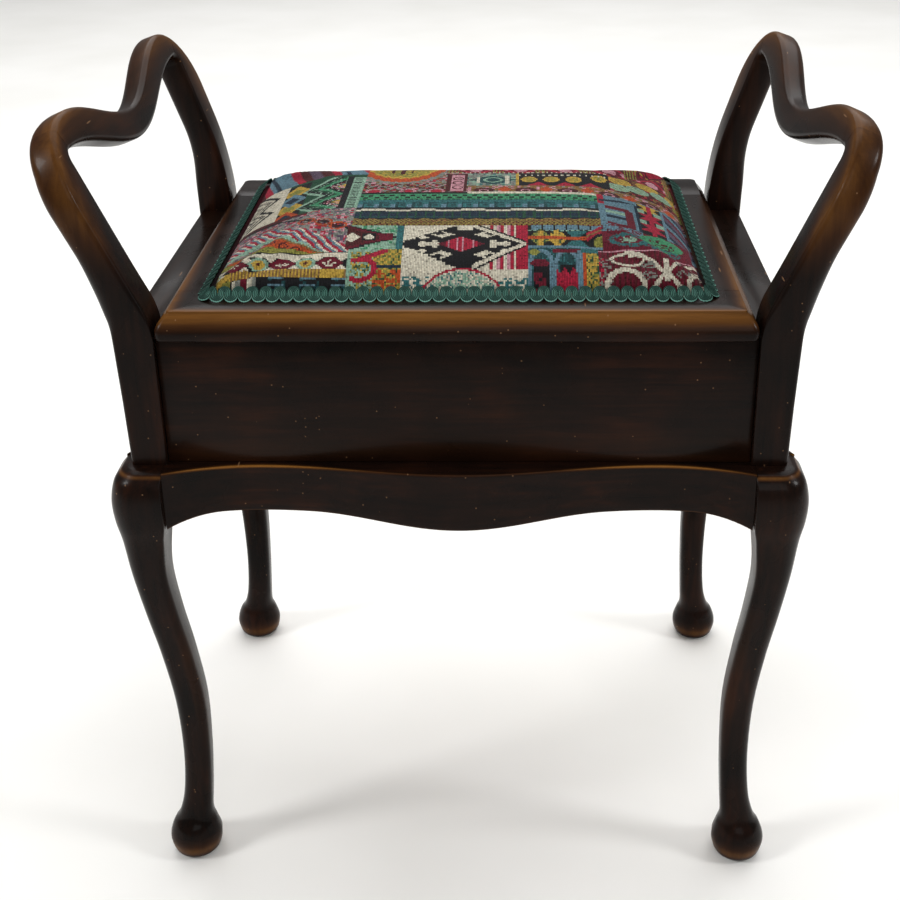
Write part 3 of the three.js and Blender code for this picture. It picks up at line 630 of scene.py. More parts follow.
@dataclass
class Stand:
    """Four cabriole legs and four serpentine aprons. Sizes in mm."""

    finishes: Finishes
    top: float = field(default_factory=lambda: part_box("apron_front")[1].z / MM)
    foot: tuple = (228.0, 156.0)
    foot_r: float = 21.5
    inset: float = 11.0
    knee: float = 30.0
    knee_h: float = 60.0
    ankle: float = 60.0
    apron_t: float = 19.0
    hollow_h: float = 39.0
    swell: float = 15.0
    flare: float = 14.0
    drop: float = 9.0
    gap: float = 0.3
    rows: int = 84
    section_steps: tuple = (4, 6, 16, 6)
    apron_rings: int = 97
    long_apron: tuple = (71.0, 42.0, 110.0)
    short_apron: tuple = (50.0, 34.0, 72.0)

    def stations(self) -> list:
        """Sections down a leg.

        Returns:
            Rows of (z, inner reach, outer reach, outer roundness, side roundness).
        """
        t, i, k, r = self.top, self.inset, self.knee, self.foot_r
        ankle, shank = self.ankle, t - self.knee_h - self.ankle
        return [
            (t, -i, k - 13, 0.95, 0.05), (t - 1.2, -i, k - 10, 0.95, 0.05), (t - 3, -i, k - 8, 0.95, 0.05),
            (t - 10, -i, k - 3, 0.95, 0.05), (t - 25, -i, k, 0.95, 0.05), (t - 42, -i, k - 1, 0.9, 0.08),
            (t - self.knee_h, -8, 25.5, 0.85, 0.2), (ankle + 0.876 * shank, -6, 22, 0.8, 0.35),
            (ankle + 0.717 * shank, -9.5, 16.5, 0.75, 0.45),
            (ankle + 0.558 * shank, -14.5, 10.5, 0.7, 0.5), (ankle + 0.359 * shank, -19, 5.2, 0.7, 0.55),
            (ankle + 0.159 * shank, -18.5, 4, 0.75, 0.6),
            (ankle, -16.5, 6.7, 0.85, 0.7), (38, -15.5, 12, 0.95, 0.9), (28, -18.5, 18, 1, 1),
            (16, -r, r, 1, 1), (5, -r + 2, r - 2, 1, 1), (1.4, -r + 4.6, r - 4.6, 1, 1),
            (0, -r + 7, r - 7, 1, 1),
        ]

    def leg(self, sx: int, sy: int) -> bpy.types.Object:
        """Builds one leg.

        Args:
            sx: -1 at the left, 1 at the right.
            sy: -1 at the front, 1 at the back.

        Returns:
            The piece.
        """
        table = np.array(self.stations(), float)
        share = np.linspace(0, len(table) - 1, self.rows)
        columns = [catmull(table[:, c], share) for c in range(5)]
        rings = []
        for z, a, b, outer, side in zip(*columns):
            half = (b - a) / 2
            outer_r = half * min(1.0, outer)
            side_r = half * min(1.0, max(0.03, side))
            # The foot, the top of the knee and the shank's two side arrises are rubbed.
            rubbed = 0.55 * bump_at(z, 9, 7) + 0.25 * bump_at(z, 20, 8) + 0.6 * bump_at(z, self.top - 3, 2.0)
            shank = 0.34 * bump_at(z, 180, 120) if 40 < z < self.top - 55 else 0.0
            radii = (side_r, side_r, outer_r, side_r)
            rings.append([((sx * (self.foot[0] + u), sy * (self.foot[1] + v), max(0.0, z)),
                           min(1.0, rubbed + (shank if corner in (1, 3) else 0.0)))
                          for u, v, corner in rounded_section((a, a), (b, b), radii, self.section_steps)])
        piece = loft(f"cabriole_leg_{corner_name(sx, sy)}", rings)
        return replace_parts(piece, f"leg_{corner_name(sx, sy)}")

    def apron(self, name: str, node_name: str, half: float, lengths: tuple, turn: float, place: tuple
              ) -> bpy.types.Object:
        """Builds one apron as a swelling and dipping rail.

        Args:
            name: the piece's name.
            node_name: the CAD node it stands for.
            half: half its length.
            lengths: length of the flare, of the rounded lower corner and of the dropped middle's half.
            turn: quarter turns about the upright axis.
            place: where the middle of its inner face stands.

        Returns:
            The piece.
        """
        flare_len, round_len, drop_half = lengths
        end = half - self.gap
        cos, sin = math.cos(turn), math.sin(turn)
        rings = []
        for x in np.linspace(-end, end, self.apron_rings):
            far = abs(x)
            hollow = half - flare_len
            if far > hollow:
                out = self.flare * ((far - hollow) / flare_len) ** 2
            else:
                out = self.swell * (0.5 + 0.5 * math.cos(math.pi * far / hollow))
            start = half - round_len
            fall = 0.0
            if far > start:
                fall = self.drop * ((far - start) / round_len) ** 2
            elif far < drop_half:
                fall = self.drop * (0.5 + 0.5 * math.cos(math.pi * far / drop_half))
            front = -(self.apron_t + out)
            low = self.top - self.hollow_h - fall
            # Honey on the top arris, strongest where the face is set back most: partly polish rubbed through,
            # partly painted highlight.
            rub = 0.45 + 0.55 * bump_at(far, hollow, 60)
            top = self.top
            profile = [(0.0, top, 0.0), (front + 5.0, top, 0.1), (front + 1.3, top - 0.1, rub * 0.5),
                       (front + 0.4, top - 0.5, rub), (front, top - 1.3, rub * 0.7), (front, top - 3.0, 0.12),
                       (front, top - 9, 0.06), (front, low + 9, 0.05), (front, low + 3.0, 0.16),
                       (front + 0.8, low + 0.8, 0.5), (front + 2.6, low, 0.24), (front + 8, low, 0.05),
                       (0.0, low, 0.0)]
            rings.append([((place[0] + x * cos - y * sin, place[1] + x * sin + y * cos, z), w)
                          for y, z, w in profile])
        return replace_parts(loft(name, rings), node_name)

    def build(self) -> None:
        """Builds the stand's pieces and dresses them."""
        for sx, sy in CORNERS:
            dress(self.leg(sx, sy), Body.STOOL, self.finishes.upright)
        x, y = self.foot[0] - self.inset, self.foot[1] - self.inset
        long, short = self.long_apron, self.short_apron
        for name, half, lengths, turn, place, wood in (
                ("front", x, long, 0.0, (0, -y), self.finishes.across),
                ("back", x, long, math.pi, (0, y), self.finishes.across),
                ("left", y, short, -math.pi / 2, (-x, 0), self.finishes.deep),
                ("right", y, short, math.pi / 2, (x, 0), self.finishes.deep)):
            piece = self.apron(f"serpentine_apron_{name}", f"apron_{name}", half, lengths, turn, place)
            dress(piece, Body.STOOL, wood)


def catmull(values: np.ndarray, share: np.ndarray) -> np.ndarray:
    """Smooth curve through a row of values.

    Args:
        values: the values at 0, 1, 2 and so on.
        share: where to read the curve.

    Returns:
        The values read.
    """
    padded = np.concatenate([values[:1], values, values[-1:], values[-1:]])
    base = np.minimum(share.astype(int), len(values) - 2)
    t = share - base
    p0, p1, p2, p3 = (padded[base + k] for k in range(4))
    m1, m2 = (p2 - p0) / 2, (p3 - p1) / 2
    return ((2 * t**3 - 3 * t**2 + 1) * p1 + (t**3 - 2 * t**2 + t) * m1
            + (-2 * t**3 + 3 * t**2) * p2 + (t**3 - t**2) * m2)


# ---- Box ----------------------------------------------------------------------------


@dataclass
class MusicBox:
    """The four walls of the box, its bottom and the glue blocks, with broken arrises. Sizes in mm."""

    finishes: Finishes
    arris: float = 0.6

    def build(self) -> None:
        """Builds the boards and dresses the inner pieces."""
        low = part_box("box_front_panel")[0].z / MM
        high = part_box("box_front_panel")[1].z / MM
        walls = (("box_front_panel", "front_board", self.finishes.across),
                 ("box_back_panel", "back_board", self.finishes.across),
                 ("box_end_left", "end_board_left", self.finishes.deep),
                 ("box_end_right", "end_board_right", self.finishes.deep))
        for node_name, name, wood in walls:
            piece = softened_copy(node_name, name, self.arris)
            paint_wear(piece, lambda p, n: 0.5 * bump_at(p.z, low, 0.9) + 0.25 * bump_at(p.z, high, 0.8))
            dress(piece, Body.STOOL, wood)
        piece = softened_copy("box_bottom", "bottom_board", self.arris)
        dress(piece, Body.STOOL, self.finishes.pine)
        for sx, sy in CORNERS:
            corner = corner_name(sx, sy)
            piece = softened_copy(f"corner_block_{corner}", f"glue_block_{corner}", self.arris)
            dress(piece, Body.STOOL, self.finishes.pine)


# ---- Arms ---------------------------------------------------------------------------


@dataclass
class ArmLoops:
    """Two sawn and shaped arm loops, each of two leaning posts and a dipped hand rail. Sizes in mm."""

    finishes: Finishes
    box_top: float = field(default_factory=lambda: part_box("box_end_left")[1].z / MM)
    stand_top: float = field(default_factory=lambda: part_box("apron_front")[1].z / MM)
    lid_top: float = field(default_factory=lambda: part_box("lid_rail_front")[1].z / MM)
    floor: float = field(default_factory=lambda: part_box("box_end_left")[0].z / MM)
    post_in: tuple = (215.0, 134.0)
    post_out_y: float = 164.0
    post_w: float = 26.5
    crest: tuple = (623.0, 634.0)
    dip: float = 28.0
    rail_h: float = 22.0
    rail_t: float = 22.0
    arm_t: float = 24.5
    post_flare: float = 3.5
    shoulder_r: float = 55.0
    inner_r: float = 8.0
    joint_turn: float = 63.0
    lean: tuple = (0.46, 0.33)
    ease: tuple = (24.0, 84.0)
    gap: float = 0.3
    section_steps: tuple = (5, 5, 10, 10)
    wear_shares: tuple = (0.4, 0.8, 0.65, 0.3)

    def lean_at(self, y: float, z: float) -> tuple:
        """Lean of an arm at a point of its outline.

        Args:
            y: how far back the point is.
            z: its height.

        Returns:
            The outward shift and the slope.
        """
        back = (self.post_out_y + y) / (2 * self.post_out_y)
        full, ease = lerp(*self.lean, back), lerp(*self.ease, back)
        rise = max(0.0, z - self.box_top)
        if rise < ease:
            return full * rise**2 / (2 * ease), full * rise / ease
        return full * (rise - ease / 2), full

    def point(self, side: int, y: float, z: float, out: float) -> tuple:
        """Point of an arm in space.

        Args:
            side: -1 at the left, 1 at the right.
            y: how far back the point is.
            z: its height before the arm leans.
            out: distance out from the inner face.

        Returns:
            The point in mm.
        """
        shift, slope = self.lean_at(y, z)
        tilt = math.atan(slope)
        return (side * (self.post_in[0] + shift + out * math.cos(tilt)), y, z - out * math.sin(tilt))

    def thickness(self, y: float, z: float) -> float:
        """Thickness of an arm, square to its inner face.

        Args:
            y: how far back the point is.
            z: its height.

        Returns:
            The thickness.
        """
        flared = self.post_w + self.post_flare * smooth(z, self.stand_top, self.lid_top)
        loop = lerp(self.rail_t, self.arm_t, (y / self.post_out_y) ** 2)
        return lerp(flared, loop, smooth(z, self.lid_top, self.lid_top + 60))

    def section(self, side: int, inner: tuple, outer: tuple, roundness: float, wear: float) -> list:
        """Ring across an arm between its inner and outer outline points.

        Args:
            side: -1 at the left, 1 at the right.
            inner: (y, z) inside the loop.
            outer: (y, z) outside the loop.
            roundness: 0 for the squared post, 1 for the rounded arm.
            wear: how far the arrises are rubbed.

        Returns:
            The ring with its wear.
        """
        (y_in, z_in), (y_out, z_out) = inner, outer
        thick = self.thickness((y_in + y_out) / 2, (z_in + z_out) / 2)
        width = math.hypot(y_out - y_in, z_out - z_in)
        outer_r = lerp(3.5, min(thick, width) * 0.46, roundness)
        inner_r = lerp(1.2, 4.0, roundness)
        ring = []
        radii = (inner_r, inner_r, outer_r, outer_r)
        for along, out, corner in rounded_section((0, 0), (width, thick), radii, self.section_steps):
            y = y_in + (y_out - y_in) * along / width
            z = z_in + (z_out - z_in) * along / width
            ring.append((self.point(side, y, z, out), wear * self.wear_shares[corner]))
        return ring

    def shoulder(self, end: int, degrees: float) -> tuple:
        """Outline of an arm's shoulder.

        Args:
            end: -1 at the front, 1 at the back.
            degrees: how far round the shoulder, from upright (0) to level (90).

        Returns:
            The inner and the outer outline point, as (y, z).
        """
        turn = math.radians(degrees)
        top = self.crest[0] if end < 0 else self.crest[1]

        def at(y: float, z: float, r: float) -> tuple:
            """Point on a corner arc."""
            return end * (y + r * math.cos(turn)), z + r * math.sin(turn)

        return (at(self.post_in[1] - self.inner_r, top - self.rail_h - self.inner_r, self.inner_r),
                at(self.post_out_y - self.shoulder_r, top - self.shoulder_r, self.shoulder_r))

    def post(self, side: int, end: int) -> bpy.types.Object:
        """Builds one post with its half of the shoulder.

        Args:
            side: -1 at the left, 1 at the right.
            end: -1 at the front, 1 at the back.

        Returns:
            The piece.
        """
        (_, inner_z), (_, outer_z) = self.shoulder(end, 0)
        y_in, y_out = end * self.post_in[1], end * self.post_out_y
        rings = [self.section(side, (y_in, z), (y_out, z), 0, 0.28)
                 for z in (self.floor, self.floor + 1, (self.floor + self.box_top) / 2)]
        for t in np.linspace(0, 1, 40, endpoint=False):
            rings.append(self.section(side, (y_in, lerp(self.box_top, inner_z, t)),
                                      (y_out, lerp(self.box_top, outer_z, t)),
                                      smooth(t, 0, 0.45), 0.24 + 0.5 * smooth(t, 0.35, 1.0)))
        for degrees in np.linspace(0, self.joint_turn, 18):
            rings.append(self.section(side, *self.shoulder(end, degrees), 1, 0.72))
        where = f"{'front' if end < 0 else 'back'}_{'left' if side < 0 else 'right'}"
        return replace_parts(loft(f"arm_upright_{where}", rings), f"arm_post_{where}")

    def rail(self, side: int) -> bpy.types.Object:
        """Builds one hand rail between the shoulder joints.

        Args:
            side: -1 at the left, 1 at the right.

        Returns:
            The piece.
        """
        crest_y = self.post_out_y - self.shoulder_r
        inner_y = self.post_in[1] - self.inner_r

        def half(end: int) -> list:
            """Shoulder rings of one end.

            Args:
                end: -1 at the front, 1 at the back.

            Returns:
                The rings, from the joint to the level.
            """
            made = []
            for k, degrees in enumerate(np.linspace(self.joint_turn, 90, 9)[:-1]):
                (yi, zi), (yo, zo) = self.shoulder(end, degrees)
                shift = end * self.gap * max(0.0, 1 - k / 2)
                made.append(self.section(side, (yi - shift, zi), (yo - shift, zo), 1, 0.75))
            return made

        hand = []
        for share in np.linspace(-1, 1, 61):
            z = lerp(*self.crest, (1 + share) / 2) - self.dip * (0.5 + 0.5 * math.cos(math.pi * share))
            hand.append(self.section(side, (share * inner_y, z - self.rail_h), (share * crest_y, z), 1,
                                     0.35 + 0.4 * abs(share)))
        name = "left" if side < 0 else "right"
        piece = loft(f"hand_rail_{name}", half(-1) + hand + half(1)[::-1])
        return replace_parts(piece, f"arm_rail_{name}")

    def build(self) -> None:
        """Builds both loops and dresses them."""
        for _, side in SIDES:
            for end in (-1, 1):
                dress(self.post(side, end), Body.STOOL, self.finishes.upright)
            dress(self.rail(side), Body.STOOL, self.finishes.deep)


# ---- Lid ----------------------------------------------------------------------------


@dataclass
class LidFrame:
    """Four rails with a thumb moulding on the three shown edges. Sizes in mm."""

    finishes: Finishes
    low: Vector = field(default_factory=lambda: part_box("lid_rail_front")[0] / MM)
    high: Vector = field(default_factory=lambda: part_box("lid_rail_front")[1] / MM)
    back: float = field(default_factory=lambda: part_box("lid_rail_back")[1].y / MM)
    rail_w: float = 48.0
    corner_r: float = 5.0
    gap: float = 0.3
    edge: tuple = ((2.5, 0), (1.3, 0.5), (0.7, 1.2), (0.2, 2.2), (0, 3.4), (0, 5.2), (0, 7), (0.4, 8.8),
                   (1, 10.5), (2.0, 12.3), (3.2, 14), (4.6, 15.7), (6.2, 17.4), (7.3, 18.4), (8.2, 19.2),
                   (8.5, 19.7), (8.5, 20.4), (8.8, 20.8), (9.4, 21))

    def blank(self) -> bpy.types.Object:
        """Builds the whole lid outline as one moulded slab.

        Returns:
            The slab.
        """
        rings = []
        for inset, height in self.edge:
            r = max(1.0, self.corner_r - inset * 0.3)
            # Honey rising to the top arris of the moulding, most on the front: partly polish rubbed through,
            # partly painted highlight.
            rub = 0.22 + 0.46 * smooth(height, 4, 18)
            ring = []
            near, far = (self.low.x + inset, self.low.y + inset), (self.high.x - inset, self.back)
            radii = (r, r, self.corner_r, self.corner_r)
            for x, y, _ in rounded_section(near, far, radii, (8, 8, 6, 6)):
                side = 1.0 if y < self.low.y + 14 else 0.42
                shown = side if y < self.back - 2 else 0.1
                ring.append(((x, y, self.low.z + height), max(0.0, rub * shown)))
            rings.append(ring)
        inner = [((p[0] * 0.93, p[1] * 0.92, p[2]), 0.0) for p, _ in rings[-1]]
        return loft("lid_blank", rings + [inner])

    def cut(self, name: str, node_name: str, planes: list) -> bpy.types.Object:
        """Saws one rail out of a copy of the blank.

        Args:
            name: the piece's name.
            node_name: the CAD node it stands for.
            planes: (point in mm, normal) pairs; what lies on the normal's side is sawn away.

        Returns:
            The piece.
        """
        piece = self.blank()
        piece.name = piece.data.name = name
        activate(piece)
        bpy.ops.object.mode_set(mode="EDIT")
        for point, normal in planes:
            bpy.ops.mesh.select_all(action="SELECT")
            bpy.ops.mesh.bisect(plane_co=Vector(point) * MM, plane_no=normal, use_fill=True, clear_outer=True)
        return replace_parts(finish_mesh(piece), node_name)

    def build(self) -> None:
        """Builds the rails and dresses them."""
        front, back = self.low.y + self.rail_w, self.back - self.rail_w
        side = self.high.x - self.rail_w
        dress(self.cut("lid_frame_front", "lid_rail_front", [((0, front, 0), (0, 1, 0))]),
              Body.LID, self.finishes.across)
        for name, sign in SIDES:
            planes = [((0, front + self.gap, 0), (0, -1, 0)), ((0, back - self.gap, 0), (0, 1, 0)),
                      ((sign * side, 0, 0), (-sign, 0, 0))]
            dress(self.cut(f"lid_frame_{name}", f"lid_rail_{name}", planes), Body.LID,
                  self.finishes.deep)
        rear = softened_copy("lid_rail_back", "lid_frame_back", 0.5)
        dress(rear, Body.LID, self.finishes.across)
        board = softened_copy("lid_board", "lid_panel", 0.5)
        dress(board, Body.LID, self.finishes.pine)


# ---- Tapestry -----------------------------------------------------------------------


class Chart:
    """Weaving chart of the tapestry: one yarn for each small cell, in mm from the middle of the cloth."""

    def __init__(self, half_u: float, half_v: float, cell: float) -> None:
        """Starts a black chart.

        Args:
            half_u: half the cloth, sideways.
            half_v: half the cloth, front to back.
            cell: size of a cell.
        """
        us = np.arange(-half_u + cell / 2, half_u, cell)
        vs = np.arange(-half_v + cell / 2, half_v, cell)
        self.u, self.v = np.meshgrid(us, vs)
        self.half_u, self.half_v, self.cell = half_u, half_v, cell
        self.yarns = np.zeros(self.u.shape, int)
        self.raised = np.zeros(self.u.shape)
        self.random = np.random.default_rng(SEED)

    def cells(self, cloth: np.ndarray) -> tuple:
        """Finds the cells that points of the flat cloth are in.

        Args:
            cloth: the points in mm, one row each.

        Returns:
            The cells' row and column numbers.
        """
        rows, columns = self.yarns.shape
        across = np.clip(((cloth[:, 0] + self.half_u) / self.cell).astype(int), 0, columns - 1)
        deep = np.clip(((cloth[:, 1] + self.half_v) / self.cell).astype(int), 0, rows - 1)
        return deep, across

    def put(self, where: np.ndarray, yarn: Yarn, raised: float = 0.0) -> None:
        """Weaves a yarn in the cells given.

        Args:
            where: the cells.
            yarn: the yarn.
            raised: how far it stands up from the cloth, in mm, if it does.
        """
        self.yarns[where] = YARNS.index(yarn)
        if raised:
            self.raised[where] = raised

    def by_u(self, at: float, half: float) -> np.ndarray:
        """Cells within a distance sideways of a line."""
        return np.abs(self.u - at) < half

    def by_v(self, at: float, half: float) -> np.ndarray:
        """Cells within a distance front to back of a line."""
        return np.abs(self.v - at) < half

    def dash(self, along: np.ndarray, period: float, share: float) -> np.ndarray:
        """Cells in the first share of each period along a direction."""
        return (along / period) % 1 < share

    def box(self, u0: float, u1: float, v0: float, v1: float) -> np.ndarray:
        """Cells of a rectangle."""
        return (self.u >= u0) & (self.u < u1) & (self.v >= v0) & (self.v < v1)

    def diamond(self, u: float, v: float, hu: float, hv: float, step: float = 1.3) -> np.ndarray:
        """Cells of a stepped diamond."""
        du = np.floor(np.abs(self.u - u) / step) * step
        return du / hu + np.abs(self.v - v) / hv < 1

    def rhomb(self, u: float, v: float, hu: float, hv: float) -> np.ndarray:
        """Cells of a plain diamond."""
        return np.abs(self.u - u) / hu + np.abs(self.v - v) / hv < 1

    def oval(self, u: float, v: float, ru: float, rv: float) -> np.ndarray:
        """Cells of an oval."""
        return ((self.u - u) / ru) ** 2 + ((self.v - v) / rv) ** 2 < 1

    def ring(self, u: float, v: float, ru: float, rv: float, width: float) -> np.ndarray:
        """Cells of an oval ring."""
        return self.oval(u, v, ru, rv) & ~self.oval(u, v, ru - width, rv - width)

    def speckle(self, share: float, size: float = 1.3) -> np.ndarray:
        """Cells scattered at random, in blocks.

        Args:
            share: share of the blocks taken.
            size: size of a block in mm.

        Returns:
            The cells.
        """
        rough = self.random.random((400, 400))
        a = ((self.u + 250) / size).astype(int) % 400
        b = ((self.v + 250) / size).astype(int) % 400
        return rough[b, a] < share

    def wave(self, u: np.ndarray, period: float, height: float) -> np.ndarray:
        """Triangle wave along a direction."""
        return height * np.abs(((u / period) % 1.0) * 2 - 1)

    def line(self, curve: np.ndarray, half: float) -> np.ndarray:
        """Cells within a distance of a curve v(u)."""
        return np.abs(self.v - curve) < half

    def motif(self, region: np.ndarray, yarns: tuple, share: float, size: float) -> None:
        """Fills a region with a scatter of yarns over its first one.

        Args:
            region: the cells.
            yarns: the ground yarn, then the scattered ones.
            share: share of the blocks that each scattered yarn takes.
            size: size of a block in mm.
        """
        self.put(region, yarns[0])
        for yarn in yarns[1:]:
            self.put(region & self.speckle(share, size), yarn)


@dataclass
class TapestryPatches:
    """The patchwork of the cover, laid out from the front edge to the back one. Sizes in mm."""

    chart: Chart

    def weave(self) -> None:
        """Weaves every patch."""
        for patch in (self.back_band, self.back_left, self.leaves, self.stripes, self.left_diamonds,
                      self.left_triangles, self.front_left, self.crimson_arrow, self.checkers, self.key_patch,
                      self.medallion, self.gold_flowers, self.meander, self.scrolls):
            patch()

    def back_band(self) -> None:
        """Burgundy band with a row of pink diamonds along the back."""
        c = self.chart
        band = c.v > 56
        c.motif(band, (Yarn.BURGUNDY, Yarn.DARK_RED, Yarn.CRIMSON), 0.2, 2.6)
        for k in range(-5, 6):
            u = 9.5 + 37.3 * k
            for v in (73, 128):
                c.put(band & c.diamond(u, v, 20, 26), Yarn.DARK_RED)
                c.put(band & c.diamond(u, v, 17, 22), Yarn.CRIMSON)
                c.put(band & c.diamond(u, v, 11, 15), Yarn.BURGUNDY)
                c.put(band & c.oval(u, v, 5.5, 10), Yarn.PINK)
                c.put(band & (c.oval(u - 12, v + 2, 2, 4) | c.oval(u + 12, v + 2, 2, 4)), Yarn.PINK)
                ticks = band & (np.abs(c.u - u - 18.6) < 6) & (np.abs(c.v - v) > 9) & c.dash(c.u, 2.6, 0.5)
                c.put(ticks, Yarn.OLIVE)
        c.put(band & c.by_v(60, 1.5) & c.dash(c.u, 4, 0.4), Yarn.CREAM)
        c.put(band & c.by_v(57, 1.4), Yarn.BLACK)
        c.put(band & c.by_v(101, 1.6) & c.dash(c.u, 5, 0.5), Yarn.GOLD)

    def back_left(self) -> None:
        """Gold lobed medallion over a red and cream ground."""
        c = self.chart
        ground = c.box(-82, 4, -8, 60)
        c.motif(ground, (Yarn.GREY, Yarn.DARK_RED, Yarn.PINK, Yarn.CRIMSON, Yarn.TAN), 0.16, 2.6)
        rows = ground & (c.v < 26)
        c.put(rows & ((c.v - c.wave(c.u, 14, 9)) % 9 < 2.4), Yarn.DARK_RED)
        for u in (-72, -45, -22, -4):
            c.put(ground & c.ring(u, 4, 6.5, 6.5, 1.6), Yarn.PINK)
            c.put(ground & c.diamond(u, 4, 5, 5), Yarn.CRIMSON)
        area = c.box(-84, -14, 24, 110)
        edge = c.wave(c.u + 53, 7.0, 2.4)
        for hu, hv, yarn in ((37, 52, Yarn.GREY), (34, 47, Yarn.ORANGE), (27, 36, Yarn.GOLD),
                             (24, 32, Yarn.OLIVE)):
            c.put(area & (((c.u + 53) / (hu + edge)) ** 2 + ((c.v - 78) / (hv + edge)) ** 2 < 1), yarn)
        c.put(area & c.oval(-53, 78, 24, 32) & c.speckle(0.3, 2.0), Yarn.GOLD)
        c.put(area & ((np.abs(c.u + 53) % 7) < 1.8) & c.oval(-53, 74, 13, 20), Yarn.DARK_RED)
        c.put(c.box(-15, 3, 2, 56), Yarn.DARK_RED)
        c.put(c.box(-11, 0, 4, 52), Yarn.PINK)
        for v in (14, 27, 40):
            c.put(c.ring(-5.5, v, 4.5, 5, 1.4), Yarn.DARK_RED)

    def leaves(self) -> None:
        """Leaf rows at the back: teal figure, gold leaves on black, and gold and mint leaves."""
        c = self.chart
        c.motif(c.box(3, 44, 19, 57), (Yarn.GREY, Yarn.TEAL, Yarn.MINT), 0.2, 2.6)
        c.put(c.diamond(24, 36, 17, 14, 3) & c.box(3, 44, 19, 57), Yarn.DEEP_TEAL)
        c.put(c.box(10, 13, 26, 46) | c.box(34, 37, 24, 50), Yarn.CREAM)
        c.put(c.ring(24, 36, 8, 8, 2.4), Yarn.MINT)
        c.put(c.box(42.6, 45, 18, 57), Yarn.GOLD)
        c.put(c.box(45, 120, 18, 57), Yarn.BLACK)
        for k, u in enumerate((53.5, 71.5, 90, 111)):
            c.put(c.oval(u, 37 + (k == 3) * 7, 6.6, 8.6), Yarn.GOLD)
            c.put(c.oval(u, 37 + (k == 3) * 7, 4.4, 6.2) & c.speckle(0.5, 1.4), Yarn.OLIVE)
            c.put(c.box(45, 120, 18, 57) & c.by_v(50, 1.5) & c.dash(c.u, 5, 0.4), Yarn.CREAM)
        for u in (61, 83, 103):
            c.put((c.v > 18) & (c.v - 18 < 11 - np.abs(c.u - u) * 1.1), Yarn.CRIMSON)
        right = c.box(120, 200, 18, 66)
        c.motif(right, (Yarn.DARK_RED, Yarn.TAN, Yarn.CRIMSON), 0.2, 2.6)
        for u, v, yarn in ((129, 50, Yarn.GOLD), (153, 56, Yarn.GOLD), (178, 54, Yarn.GOLD),
                           (143, 38, Yarn.MINT), (164, 44, Yarn.MINT), (126, 32, Yarn.MINT),
                           (184, 36, Yarn.OLIVE)):
            c.put(right & c.oval(u, v, 10, 9), yarn)
            c.put(right & c.oval(u, v, 8, 7) & ((c.u + c.v) % 3.2 < 1.2), Yarn.OLIVE)
        row = c.box(4, 200, 1, 19)
        c.motif(row, (Yarn.TAN, Yarn.GREY, Yarn.PINK), 0.22, 2.6)
        for k in range(6):
            u = 17 + 33.5 * k
            c.put(row & c.oval(u, 6, 8.6, 6.4), Yarn.DARK_RED)
            c.put(row & c.ring(u, 5, 4, 4, 1.4), Yarn.PINK)
            c.put(row & c.diamond(u + 16.7, 8, 5, 8), Yarn.ORANGE)

    def stripes(self) -> None:
        """Green and teal chain stripes with a cream and a tan cord across them."""
        c = self.chart
        panel = c.box(-82, 106, -74, 1)
        c.put(panel, Yarn.BLACK)
        cream = c.box(4, 106, -5, 1) & (c.v > -4.2)
        c.put(cream, Yarn.CREAM, 0.35)
        c.put(panel & (c.v < -4) & (c.v > -22), Yarn.GREEN)
        for v, shift in ((-9, 0.0), (-14, 0.5)):
            c.put(panel & c.by_v(v, 2.1) & (((c.u / 8.3) + shift) % 1 < 0.45), Yarn.BLACK)
        c.put(panel & (c.v < -17) & (c.v > -22) & c.dash(c.u, 4.15, 0.5), Yarn.DARK_GREEN)
        key = panel & (c.v < -20) & (c.v > -38)
        c.put(key, Yarn.TEAL)
        c.put(key & (c.v < -25) & c.dash(c.u, 13, 0.16), Yarn.DEEP_TEAL)
        c.put(key & c.by_v(-27, 1.3) & c.dash(c.u, 13, 0.6), Yarn.DEEP_TEAL)
        c.put(key & c.by_v(-32, 2.0) & ((c.u / 13) % 1 > 0.3) & c.dash(c.u, 13, 0.6), Yarn.DEEP_TEAL)
        c.put(key & (c.v < -30) & ((c.u / 13) % 1 > 0.7), Yarn.SLATE)
        wave = -44.3 + 1.1 * np.sign(np.sin(c.u / 6.2))
        cord = panel & c.line(wave, 1.5)
        c.put(cord, Yarn.CREAM, 0.45)
        dim = panel & (c.v < -47) & (c.v > -60)
        c.put(dim, Yarn.NAVY)
        c.put(dim & c.by_v(-58.2, 0.9), Yarn.DEEP_TEAL)
        c.put(dim & c.by_v(-50, 0.9) & c.dash(c.u, 14, 0.6), Yarn.DARK_GREEN)
        c.put(dim & (c.dash(c.u, 14, 0.1) | (np.abs((c.u / 14) % 1 - 0.5) < 0.05)), Yarn.DARK_GREEN)
        rope = panel & (c.v < -62.5) & (c.v > -73.2 + 0 * c.u) & (c.v < -64.5 + c.wave(c.u, 13.5, 3.4))
        c.put(rope, Yarn.TAN)
        c.put(rope & c.dash(c.u + 0.9 * c.v, 3.9, 0.33), Yarn.DARK_RED)
        c.put(rope & c.dash(c.u - 0.9 * c.v, 3.9, 0.28), Yarn.OLIVE)
        c.raised[rope] = 0.4

